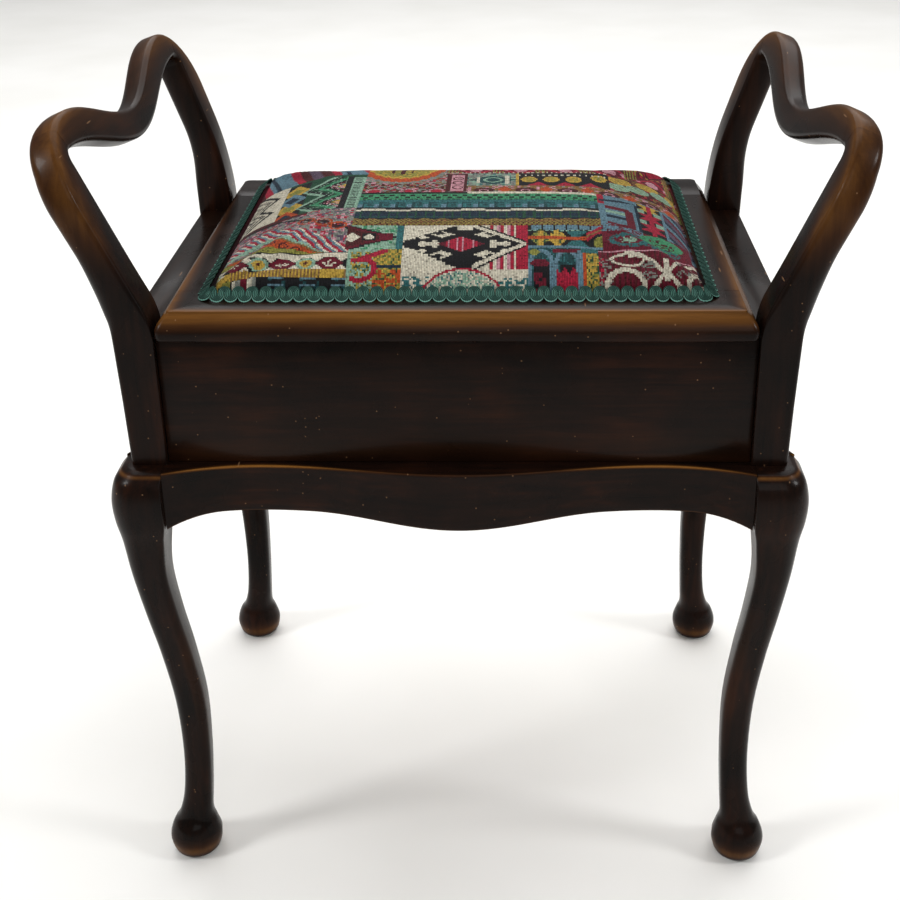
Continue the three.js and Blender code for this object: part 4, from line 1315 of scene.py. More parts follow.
    def left_diamonds(self) -> None:
        """Ladder bar, nested half diamonds and black chevrons at the left."""
        c = self.chart
        c.put(c.box(-192, -82, -52, 56), Yarn.DARK_GREEN)
        c.put(c.box(-92, -82, -53, 46), Yarn.MINT)
        c.put(c.box(-91, -84, -53, 46) & c.dash(c.v, 4.2, 0.38), Yarn.BLACK)
        c.put(c.box(-97, -92, -53, 50), Yarn.BLACK)
        nest = c.box(-135, -97, -53, 50)
        fold = np.minimum(np.abs(c.v - 22), np.abs(c.v + 20))
        reach = (-97 - c.u) + fold * 0.95
        bands = (Yarn.MINT, Yarn.BLACK, Yarn.DARK_GREEN, Yarn.GREEN, Yarn.BLACK, Yarn.DARK_RED,
                 Yarn.DARK_GREEN)
        for k, yarn in enumerate(bands):
            c.put(nest & (reach < 38 - 5.0 * k), yarn)
        c.put(nest & (reach < 6), Yarn.GOLD)
        c.put(nest & (reach < 34) & (reach > 5) & c.speckle(0.14, 1.4), Yarn.MINT)
        c.put(nest & (reach < 14) & c.speckle(0.25, 1.4), Yarn.PINK)
        gold = c.box(-149, -128, -50, 50) & (reach > 36)
        c.put(gold, Yarn.BLACK)
        for v, yarn in ((30, Yarn.GOLD), (-14, Yarn.GOLD), (8, Yarn.SLATE), (-38, Yarn.ORANGE)):
            c.put(gold & c.diamond(-139, v, 12, 17), yarn)
            c.put(gold & c.diamond(-139, v, 6, 8), Yarn.OLIVE if yarn is Yarn.GOLD else Yarn.NAVY)
        white = c.box(-192, -147, -42, 62)
        c.put(white, Yarn.CREAM)
        lobe = np.minimum(np.abs(c.v - 30), np.abs(c.v + 8))
        tip = (c.u + 192) + 0.7 * lobe
        c.put(white & (tip < 40), Yarn.BLACK)
        c.put(white & (tip < 38) & c.dash(tip, 8.2, 0.36), Yarn.CREAM)
        c.put(white & (tip < 34) & c.dash(c.u - c.v, 5.2, 0.3) & (c.u > -186), Yarn.CREAM)
        top = c.box(-192, -82, 54, 150) & (c.v > 60 - 0.12 * (c.u + 190))
        c.put(top, Yarn.PURPLE)
        sweep = (c.u + 0.28 * (c.v - 60)) % 60
        for start, end, yarn in ((0, 9, Yarn.DARK_RED), (9, 16, Yarn.CRIMSON), (16, 30, Yarn.SLATE),
                                 (20, 24, Yarn.NAVY), (30, 38, Yarn.SLATE), (38, 45, Yarn.CRIMSON),
                                 (45, 52, Yarn.DARK_RED)):
            c.put(top & (sweep >= start) & (sweep < end), yarn)

    def left_triangles(self) -> None:
        """Pink and grey triangle with candy stripes, and the orange arch below it."""
        c = self.chart
        area = c.box(-192, -82, -112, -38)
        c.motif(area, (Yarn.GREY, Yarn.PINK, Yarn.CRIMSON, Yarn.PURPLE), 0.2, 2.2)
        c.put(area & (c.v > -44 + 0.1 * (c.u + 140)) & (c.u < -120), Yarn.DARK_RED)
        c.put(area & c.line(-46 - 0.55 * np.maximum(0, c.u + 140), 1.6), Yarn.BLACK)
        for u, v in ((-118, -60), (-104, -66), (-92, -72)):
            c.put(area & c.ring(u, v, 7, 6, 1.8), Yarn.ORANGE)
            c.put(area & c.ring(u, v, 4.4, 3.6, 1.6), Yarn.DARK_RED)
        slope = c.v + 0.62 * np.abs(c.u + 146) + 58
        candy = area & (slope < 0) & (slope > -17)
        c.put(candy, Yarn.SLATE)
        c.put(candy & c.dash(c.u + 0.8 * c.v, 7.5, 0.42), Yarn.CRIMSON)
        c.put(candy & (((c.u + 0.8 * c.v) / 7.5) % 1 > 0.74), Yarn.CREAM)
        c.put(area & (slope < -17) & (slope > -24), Yarn.MINT)
        arch = c.box(-186, -84, -112, -80) & (c.v < -84 - 0.52 * np.abs(c.u + 140))
        c.put(arch, Yarn.TAN)
        c.put(arch & (c.v < -86 - 0.52 * np.abs(c.u + 140)), Yarn.ORANGE)
        for k in range(-4, 5):
            u = -140 + 9.5 * k
            c.put(arch & c.ring(u, -92.5 - 0.52 * abs(u + 140), 4, 3.4, 1.4), Yarn.DARK_RED)
        c.put(arch & (c.v < -99 - 0.16 * np.abs(c.u + 140)), Yarn.OLIVE)

    def front_left(self) -> None:
        """Flower band between a cream cord and a gold braid, over a dark figured edge."""
        c = self.chart
        arc = -108.5 - 0.0055 * (np.maximum(0, -c.u - 140)) ** 2
        area = c.box(-192, -82, -150, -100) & (c.v < arc + 3)
        c.put(area, Yarn.BLACK)
        for k in range(7):
            u = -94 - 17.6 * k
            v = -116.5 - 0.004 * max(0.0, -u - 140) ** 2
            if k % 2 == 0:
                c.put(area & c.diamond(u, v, 10.5, 7.5), Yarn.BURGUNDY)
                c.put(area & c.diamond(u, v, 4.5, 3.4) & c.speckle(0.6, 1.3), Yarn.CREAM)
            else:
                c.put(area & c.oval(u, v, 7.5, 5.8), Yarn.MINT)
                c.put(area & c.oval(u, v, 4.6, 4), Yarn.GOLD)
                c.put(area & c.oval(u, v, 1.6, 1.6), Yarn.DARK_RED)
            c.put(area & c.diamond(u + 8.8, v + 5, 3.4, 3), Yarn.CREAM)
            c.put(area & c.diamond(u + 8.8, v - 5, 3.4, 3), Yarn.CREAM)
        cord = area & c.line(arc, 1.4)
        c.put(cord, Yarn.CREAM, 0.45)
        gold = area & c.line(arc - 16.8, 2.9)
        c.put(gold, Yarn.GOLD)
        c.put(gold & c.dash(c.u, 2.6, 0.4), Yarn.TAN)
        c.raised[gold] = 0.4
        edge = area & (c.v < arc - 20)
        c.put(edge, Yarn.BLACK)
        c.put(edge & c.dash(c.u, 23, 0.62) & c.speckle(0.34, 2.6), Yarn.DEEP_TEAL)
        c.put(edge & c.dash(c.v, 5.2, 0.35) & c.dash(c.u, 23, 0.5), Yarn.SLATE)
        c.put(edge & (c.u < -166), Yarn.OLIVE)
        for u, yarn in ((-163, Yarn.CREAM), (-160, Yarn.GREY), (-157, Yarn.BURGUNDY), (-154, Yarn.BURGUNDY),
                        (-151, Yarn.CREAM), (-148, Yarn.GREY)):
            c.put(edge & c.by_u(u, 1.6), yarn)

    def crimson_arrow(self) -> None:
        """Stepped crimson arrow on mint beside the cream patch."""
        c = self.chart
        area = c.box(-84, -42, -103, -74)
        c.put(area, Yarn.MINT)
        c.put(area & c.speckle(0.2, 2.0), Yarn.GREEN)
        for hu, yarn in ((40, Yarn.BLACK), (36, Yarn.BURGUNDY), (31, Yarn.DARK_RED)):
            c.put(area & c.diamond(-86, -88.5, hu, hu * 0.4, 4), yarn)
        c.put(area & c.box(-60, -50, -93, -84), Yarn.BURGUNDY)
        c.put(area & c.box(-72, -62, -93, -83), Yarn.BLACK)
        c.put(area & c.diamond(-67, -88.5, 4, 3.4), Yarn.CREAM)
        c.put(area & c.diamond(-80, -88.5, 6, 6), Yarn.CREAM)
        c.put(c.box(-47, -42, -103, -74), Yarn.TEAL)

    def checkers(self) -> None:
        """Gold and green checks with a red crook."""
        c = self.chart
        area = c.box(-82, -42, -150, -103)
        c.put(area, Yarn.OLIVE)
        c.put(area & (((c.u / 2.6).astype(int) + (c.v / 2.6).astype(int)) % 2 == 0), Yarn.GOLD)
        c.put(area & c.speckle(0.16, 1.4), Yarn.DARK_GREEN)
        c.put(area & (c.u < -62) & c.speckle(0.5, 1.6), Yarn.MINT)
        c.put(area & (c.v > -106) & (c.u < -58), Yarn.MINT)
        open_side = (c.u < -72) & (c.v > -122)
        c.put(area & c.ring(-73, -121, 14, 11, 4.0) & (c.u > -80) & ~open_side, Yarn.CRIMSON)
        c.put(area & (np.abs(c.v + 110 - 0.45 * (c.u + 66)) < 2.4) & (c.u > -76) & (c.u < -52), Yarn.CRIMSON)
        c.put(area & c.by_v(-113.5, 2) & (c.u < -63) & (c.u > -79), Yarn.CRIMSON)
        c.put(area & c.by_v(-119.5, 1.3) & (c.u > -60), Yarn.NAVY)
        c.put(area & (c.v < -122) & (c.u > -62) & c.speckle(0.55, 2.0), Yarn.ORANGE)
        c.put(area & (c.u < -79.5), Yarn.MINT)

    def medallion(self) -> None:
        """Cream patch with the stepped black medallion, striped corners and a teal hem."""
        c = self.chart
        area = c.box(-42, 51.5, -150, -74)
        c.put(area, Yarn.CREAM)
        c.put(area & c.diamond(4, -97, 48, 26.5, 3.4), Yarn.BLACK)
        c.put(area & (c.v > -80) & c.by_u(4, 6), Yarn.CREAM)
        for side in (-1, 1):
            for end in (-1, 1):
                u, v = 4 + side * 17, -97 + end * 11.5
                c.put(area & c.rhomb(u, v, 9, 4.2), Yarn.CREAM)
                c.put(area & c.rhomb(u + side * 3, v + end * 1.6, 5, 2.4), Yarn.BLACK)
                c.put(area & c.rhomb(4 + side * 31, -97 + end * 7.5, 4, 2.2), Yarn.CREAM)
            for out, wide, tall in ((27, 7.5, 1.7), (22, 2.2, 4.2), (31, 1.8, 3.2)):
                c.put(area & c.by_u(4 + side * out, wide) & c.by_v(-97, tall), Yarn.CREAM)
        heart = area & c.diamond(2, -97, 17, 8.5, 2.6)
        c.put(heart, Yarn.CRIMSON)
        c.put(heart & (np.abs(c.u - 2) > 12), Yarn.BURGUNDY)
        for u in (-8, -2, 4, 11):
            c.put(heart & c.by_u(u, 0.8), Yarn.PINK)
        outer = area & (c.u > 12) & (np.abs(c.v + 97) > (52 - c.u) * 0.62)
        corner = outer & (c.u > 24) & (c.v > -122)
        c.put(outer & ~corner & (c.u > 14), Yarn.CREAM)
        c.put(corner, Yarn.CRIMSON)
        for u, yarn in ((27, Yarn.CREAM), (30, Yarn.PINK), (35, Yarn.CREAM), (37.5, Yarn.PINK),
                        (42, Yarn.CREAM)):
            c.put(corner & c.by_u(u, 0.9), yarn)
        point = area & (c.u > 10) & (c.u < 50)
        c.put(point & (np.abs(np.abs(c.v + 97) - (50 - c.u) * 0.58) < 1.9), Yarn.CREAM)
        c.put(point & (np.abs(np.abs(c.v + 97) - (54 - c.u) * 0.6) < 1.0), Yarn.BLACK)
        hem = area & (c.v < -122.5)
        c.put(hem, Yarn.CREAM)
        inside = hem & c.oval(3, -150, 31, 27)
        c.put(inside & c.speckle(0.5, 1.4), Yarn.MINT)
        c.put(inside & c.speckle(0.18, 1.4), Yarn.TEAL)
        c.put(hem & c.box(-40, -22, -150, -127) & c.speckle(0.6, 1.6), Yarn.TEAL)
        c.put(hem & c.box(30, 51, -150, -128) & c.speckle(0.5, 1.6), Yarn.TEAL)
        c.put(area & (c.v < -118) & c.ring(3, -150, 33.5, 29.5, 1.8), Yarn.CRIMSON)

    def gold_flowers(self) -> None:
        """Gold flowers and a teal hourglass on black."""
        c = self.chart
        area = c.box(51.5, 106, -102, -74)
        c.put(area, Yarn.BLACK)
        c.put(area & (c.v > -79.5) & c.dash(c.u, 9, 0.8), Yarn.SLATE)
        c.put(area & (c.v > -81.5) & (c.v < -79.5) & c.dash(c.u, 4, 0.6), Yarn.MINT)
        for u, yarn in ((61, Yarn.OLIVE), (73, Yarn.GOLD)):
            c.put(area & c.diamond(u, -89.5, 8, 11), yarn)
            c.put(area & c.diamond(u, -89.5, 8, 11) & c.speckle(0.3, 1.4), Yarn.DARK_GREEN)
            c.put(area & c.by_u(u, 1.6) & c.by_v(-89.5, 9), Yarn.GOLD)
        c.put(area & (np.abs(c.v + 89.5) * 0.7 + 2 > np.abs(c.u - 88)) & c.by_v(-89.5, 9), Yarn.TEAL)
        c.put(area & c.by_v(-89.5, 1.5) & (c.u < 98), Yarn.ORANGE)
        c.put(area & (c.u > 95) & (np.abs(c.v + 84 - 0.9 * (c.u - 100)) < 4.5), Yarn.CRIMSON)
        c.put(area & (c.u > 95) & (np.abs(c.v + 84 - 0.9 * (c.u - 100)) < 1.2), Yarn.TAN)
        c.put(area & c.oval(106, -94, 6, 6), Yarn.OLIVE)
        c.put(area & (c.v < -99), Yarn.SLATE)

    def meander(self) -> None:
        """Teal arches with crimson feet, and a gold column."""
        c = self.chart
        area = c.box(51.5, 90, -150, -102)
        c.put(area, Yarn.DEEP_TEAL)
        c.put(area & c.speckle(0.25, 1.5), Yarn.TEAL)
        for u in (61, 80):
            c.put(area & c.ring(u, -118, 9.5, 15, 3.2) & (c.v > -120), Yarn.SLATE)
            c.put(area & (c.v <= -120) & (np.abs(np.abs(c.u - u) - 8) < 1.6), Yarn.SLATE)
            c.put(area & (c.v < -118) & c.by_u(u, 6), Yarn.BLACK)
        c.put(area & c.oval(60, -116.5, 7, 3.4), Yarn.BURGUNDY)
        c.put(area & (c.v < -124) & c.by_u(60, 4) & c.speckle(0.6, 2.6), Yarn.BURGUNDY)
        c.put(area & (c.v < -126 + c.wave(c.u, 6.5, 6)) & (c.u > 72), Yarn.CRIMSON)
        c.put(area & c.by_v(-104.5, 1.7) & (c.u > 70), Yarn.BURGUNDY)
        c.put(area & c.oval(56, -106, 4, 3), Yarn.OLIVE)
        column = c.box(90, 103, -150, -107)
        c.put(column, Yarn.GOLD)
        c.put(column & c.speckle(0.32, 1.5), Yarn.OLIVE)
        c.put(column & c.speckle(0.16, 1.5), Yarn.DARK_GREEN)
        c.put(column & c.by_u(92, 1.4), Yarn.ORANGE)
        c.put(c.box(88, 91, -150, -104), Yarn.SLATE)
        c.put(c.box(90, 103, -107, -102), Yarn.TEAL)

    def key_patch(self) -> None:
        """Slate and crimson key figures with a green scatter at the right."""
        c = self.chart
        area = c.box(106, 200, -103, 2)
        c.put(area, Yarn.SLATE)
        c.put(c.box(106, 112, -22, 2), Yarn.CRIMSON)
        left = c.box(108, 138, -72, -6)
        c.put(left & (np.abs(c.v + 14 - 0.35 * (c.u - 108)) < 2.6), Yarn.NAVY)
        for v0, v1, yarn in ((-33, -25, Yarn.BURGUNDY), (-43, -36, Yarn.MINT), (-54, -48, Yarn.NAVY),
                             (-62, -56, Yarn.SLATE), (-72, -64, Yarn.BURGUNDY)):
            c.put(left & (c.v > v0) & (c.v < v1) & (c.u > 112) & (c.u < 131), yarn)
        c.put(left & (c.u > 127) & (c.u < 133) & (c.v < -28), Yarn.BURGUNDY)
        c.put(c.box(136.5, 139, -72, -8), Yarn.NAVY)
        mid = c.box(139, 158, -72, 0)
        c.put(mid, Yarn.BLACK)
        for v, yarn in ((-8, Yarn.GOLD), (-30, Yarn.CRIMSON), (-55, Yarn.CRIMSON)):
            c.put(mid & c.by_v(v, 8) & (np.abs(c.u - 148) < 4 + 0.8 * np.abs(c.v - v)), yarn)
        c.put(mid & c.by_u(148, 2.2), Yarn.CRIMSON)
        for v in (-18, -43):
            c.put(mid & c.by_v(v, 4.5) & (np.abs(c.u - 148) > 4), Yarn.MINT)
        c.put(c.box(158, 161, -80, 0), Yarn.SLATE)
        far = c.box(161, 200, -103, 0)
        turn = (c.u * 0.9 + c.v * 0.55) % 19
        c.put(far & (turn < 6), Yarn.PURPLE)
        c.put(far & (turn > 6) & (turn < 10), Yarn.BURGUNDY)
        c.put(far & (turn > 15), Yarn.NAVY)
        rest = c.box(106, 176, -103, -70)
        c.put(rest, Yarn.BURGUNDY)
        c.put(rest & (c.v > -80) & (c.u < 138) & c.speckle(0.55, 1.6), Yarn.SLATE)
        c.put(rest & c.ring(126, -91, 15, 8.5, 4.2) & c.speckle(0.8, 1.4), Yarn.TEAL)
        c.put(rest & c.oval(126, -91, 6, 3.6) & c.speckle(0.7, 1.4), Yarn.MINT)
        c.put(rest & c.oval(152, -82, 17, 12), Yarn.GREEN)
        c.put(rest & c.oval(150, -95, 16, 7) & c.speckle(0.7, 1.6), Yarn.TEAL)
        c.put(rest & c.oval(152, -82, 12, 7) & c.speckle(0.25, 2.0), Yarn.DARK_RED)
        c.put(c.box(80, 200, -104.5, -102.6), Yarn.PINK)

    def scrolls(self) -> None:
        """Burgundy patch with cream scrolls at the front right."""
        c = self.chart
        area = c.box(103, 200, -150, -104)
        c.put(area, Yarn.BURGUNDY)
        c.put(area & c.dash(c.u, 3.9, 0.3), Yarn.DARK_RED)
        c.put(c.box(103, 107, -150, -104) & c.speckle(0.4, 2.0), Yarn.CRIMSON)
        c.put(area & (c.u < 113) & (c.v < -112) & c.speckle(0.3, 1.4), Yarn.GREY)
        centre = 152
        for mirror in (-1, 1):
            for u, v, ru, rv, width in ((28, -112, 13, 7.4, 2.6), (30, -134, 15, 13, 4.0)):
                c.put(area & c.ring(centre + mirror * u, v, ru, rv, width), Yarn.CREAM)
            reach = mirror * (c.u - centre)
            c.put(area & (reach > 1) & (reach < 27) & (np.abs(c.v + 106.5 + 0.028 * (27 - reach) ** 2) < 2.3),
                  Yarn.CREAM)
            c.put(area & (reach > 1) & (reach < 26) & (np.abs(c.v + 146 - 0.036 * (26 - reach) ** 2) < 2.8),
                  Yarn.CREAM)
            c.put(area & c.oval(centre + mirror * 13, -117, 6, 3) & c.speckle(0.6, 1.4), Yarn.GREY)
            c.put(area & c.oval(centre + mirror * 13, -127, 6, 3.4) & c.speckle(0.5, 1.4), Yarn.GREY)
        c.put(area & c.by_u(152, 1.6) & (c.v < -112) & (c.v > -132), Yarn.CREAM)


@dataclass
class SeatPad:
    """Sprung-looking flat pad under its tapestry cover. Sizes in mm."""

    finishes: Finishes
    low: Vector = field(default_factory=lambda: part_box("seat_pad")[0] / MM)
    high: Vector = field(default_factory=lambda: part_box("seat_pad")[1] / MM)
    belly: float = 4.4
    profile: tuple = ((0, 0), (0.5, 0.16), (-3, 0.34), (-11, 0.56), (-27, 0.76), (-52, 0.9), (-84, 0.97),
                      (-118, 1))
    cell: float = 1.28
    voxel: float = 5.0
    wall: float = 9.0
    batter: float = 0.06
    most_swell: float = 5.0
    fill: float = 0.8
    cloth_steps: int = 20

    def core(self) -> bpy.types.Object:
        """Swells the stuffing from the pad's solid with a cloth simulation.

        Returns:
            A helper mesh that the cover is laid over.
        """
        core = copy_of("seat_pad", "pad_stuffing")
        bpy.ops.mesh.normals_make_consistent(inside=False)
        bpy.ops.object.mode_set(mode="OBJECT")
        base = self.low.z * MM
        for vert in core.data.vertices:
            vert.co.z = base + (vert.co.z - base) * 0.93
        apply_modifier(core, "REMESH", mode="VOXEL", voxel_size=self.voxel * MM)
        apply_modifier(core, "SMOOTH", factor=0.5, iterations=4)
        start = points_of(core)
        group = core.vertex_groups.new(name="nailed")
        group.add([v.index for v in core.data.vertices if v.co.z < base + 6 * MM], 1.0, "REPLACE")
        cloth = core.modifiers.new("Cloth", "CLOTH")
        for key, value in (("quality", 6), ("mass", 0.3), ("tension_stiffness", 25),
                           ("compression_stiffness", 25), ("bending_stiffness", 0.6), ("use_pressure", True),
                           ("uniform_pressure_force", 4.0), ("vertex_group_mass", "nailed")):
            setattr(cloth.settings, key, value)
        cloth.settings.effector_weights.gravity = 0.0
        cloth.collision_settings.use_self_collision = False
        cloth.point_cache.frame_start = 1
        cloth.point_cache.frame_end = self.cloth_steps
        scene = bpy.context.scene
        for number in range(1, self.cloth_steps + 1):
            scene.frame_set(number)
        activate(core)
        bpy.ops.object.modifier_apply(modifier="Cloth")
        scene.frame_set(1)
        moved = points_of(core) - start
        length = np.linalg.norm(moved, axis=1, keepdims=True)
        most = self.most_swell * MM
        moved *= np.minimum(1.0, most / np.maximum(length, 1e-9))
        core.data.vertices.foreach_set("co", (start + moved).ravel())
        core.data.update()
        LOG.info("stuffing swelled by up to %.1f mm", float(length.max()) / MM)
        return core

    def arc(self) -> tuple:
        """Measures the way over the pad's side from its foot.

        Returns:
            Distances along the cloth, and how far in from the foot each of them lies.
        """
        height = self.high.z - self.low.z
        points = [(0.0, 0.0)] + [(max(0.0, -out), share * height) for out, share in self.profile[1:]]
        along = [0.0]
        for (a, b), (c, d) in zip(points, points[1:]):
            along.append(along[-1] + math.hypot(c - a, d - b))
        flat = self.high.x - self.low.x
        points.append((points[-1][0] + flat, points[-1][1]))
        along.append(along[-1] + flat)
        return np.array(along), np.array([p[0] for p in points])

    def drape(self, core: bpy.types.Object, cloth: np.ndarray, chart: Chart, foot: tuple) -> np.ndarray:
        """Finds where each point of the flat cloth comes to lie over the stuffing.

        Args:
            core: the stuffing.
            cloth: the points of the flat cloth in mm.
            chart: the weaving chart.
            foot: half the pad at its foot, each way.

        Returns:
            The points in mm.
        """
        tree = BVHTree.FromObject(core, bpy.context.evaluated_depsgraph_get())
        along, inset = self.arc()
        middle = Vector(((self.low.x + self.high.x) / 2, (self.low.y + self.high.y) / 2, 0))
        half = (chart.half_u, chart.half_v)
        shoulder = self.wall + 2
        place, ray = np.zeros_like(cloth), np.zeros_like(cloth)
        for axis in (0, 1):
            way, inward = np.sign(cloth[:, axis]), half[axis] - np.abs(cloth[:, axis])
            from_edge = np.maximum(0.0, inward)
            in_by = np.interp(from_edge, along, inset) + np.minimum(from_edge, self.wall) * self.batter
            place[:, axis] = way * np.maximum(0.0, foot[axis] - in_by) + middle[axis]
            # Near the edge the height is felt for a little way in, on the shoulder of the pad.
            in_by = np.maximum(np.interp(np.maximum(inward, shoulder), along, inset), 1.2)
            ray[:, axis] = way * np.maximum(0.0, foot[axis] - in_by) + middle[axis]
        base = self.low.z * MM
        tops = np.empty(len(place))
        for index, (x, y, _) in enumerate(ray):
            hit = tree.ray_cast(Vector((x * MM, y * MM, 1.0)), Vector((0, 0, -1)))[0]
            tops[index] = hit.z if hit else base
        edge = np.minimum(half[0] - np.abs(cloth[:, 0]), half[1] - np.abs(cloth[:, 1]))
        share = np.clip(edge / shoulder, 0, 1)
        share = np.sqrt(share) * 0.35 + share * 0.65
        heights = base + (tops - base) * share + chart.raised[chart.cells(cloth)] * MM
        place[:, 2] = heights / MM
        return place

    def build(self) -> None:
        """Lays the woven cover over the stuffing, closes its underside and dresses it."""
        core = self.core()
        along, inset = self.arc()
        extra = along[-1] - inset[-1]
        foot = ((self.high.x - self.low.x) / 2 + self.belly, (self.high.y - self.low.y) / 2 + self.belly)
        chart = Chart(foot[0] + extra, foot[1] + extra, self.cell)
        TapestryPatches(chart).weave()
        rows, columns = chart.yarns.shape
        deselect()
        bpy.ops.mesh.primitive_grid_add(x_subdivisions=columns, y_subdivisions=rows, size=2)
        cover = bpy.context.object
        cover.name = cover.data.name = "tapestry_cover"
        cloth = points_of(cover).astype(float) * (chart.half_u, chart.half_v, 0)
        place = self.drape(core, cloth, chart, foot)
        cover.data.vertices.foreach_set("co", (place * MM).astype(np.float32).ravel())
        store_vectors(cover, "cloth", cloth)
        self.dye(cover.data, chart)
        apply_modifier(cover, "SMOOTH", factor=0.5, iterations=3)
        bpy.data.objects.remove(core)
        edit_whole(cover)
        bpy.ops.mesh.region_to_loop()
        bpy.ops.mesh.edge_face_add()
        bpy.ops.mesh.select_all(action="SELECT")
        bpy.ops.mesh.normals_make_consistent(inside=False)
        bpy.ops.object.mode_set(mode="OBJECT")
        bpy.ops.object.shade_smooth_by_angle(angle=math.radians(60))
        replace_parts(cover, "seat_pad")
        dress(cover, Body.LID, self.finishes.tapestry)

    def dye(self, mesh: bpy.types.Mesh, chart: Chart) -> None:
        """Gives each cell of the cover its yarn's colour.

        Args:
            mesh: the cover, with each point's place on the flat cloth stored on it.
            chart: the weaving chart.
        """
        store = mesh.color_attributes.new("yarn", "FLOAT_COLOR", "CORNER")
        cloth = np.empty(len(mesh.vertices) * 3, np.float32)
        mesh.attributes["cloth"].data.foreach_get("vector", cloth)
        cloth = cloth.reshape(-1, 3)
        loops = np.empty(len(mesh.loops), np.int32)
        mesh.loops.foreach_get("vertex_index", loops)
        corners = loops.reshape(-1, 4)
        palette = np.array([linear(yarn.value) for yarn in YARNS])
        colours = palette[chart.yarns[chart.cells(cloth[corners].mean(1))]]
        strength = 0.68 + 0.56 * chart.random.random(len(colours))
        # Here and there the dark warp shows between two picks.
        strength[chart.random.random(len(colours)) < 0.06] *= 0.5
        colours[:, :3] *= strength[:, None]
        store.data.foreach_set("color", np.repeat(colours, 4, axis=0).astype(np.float32).ravel())


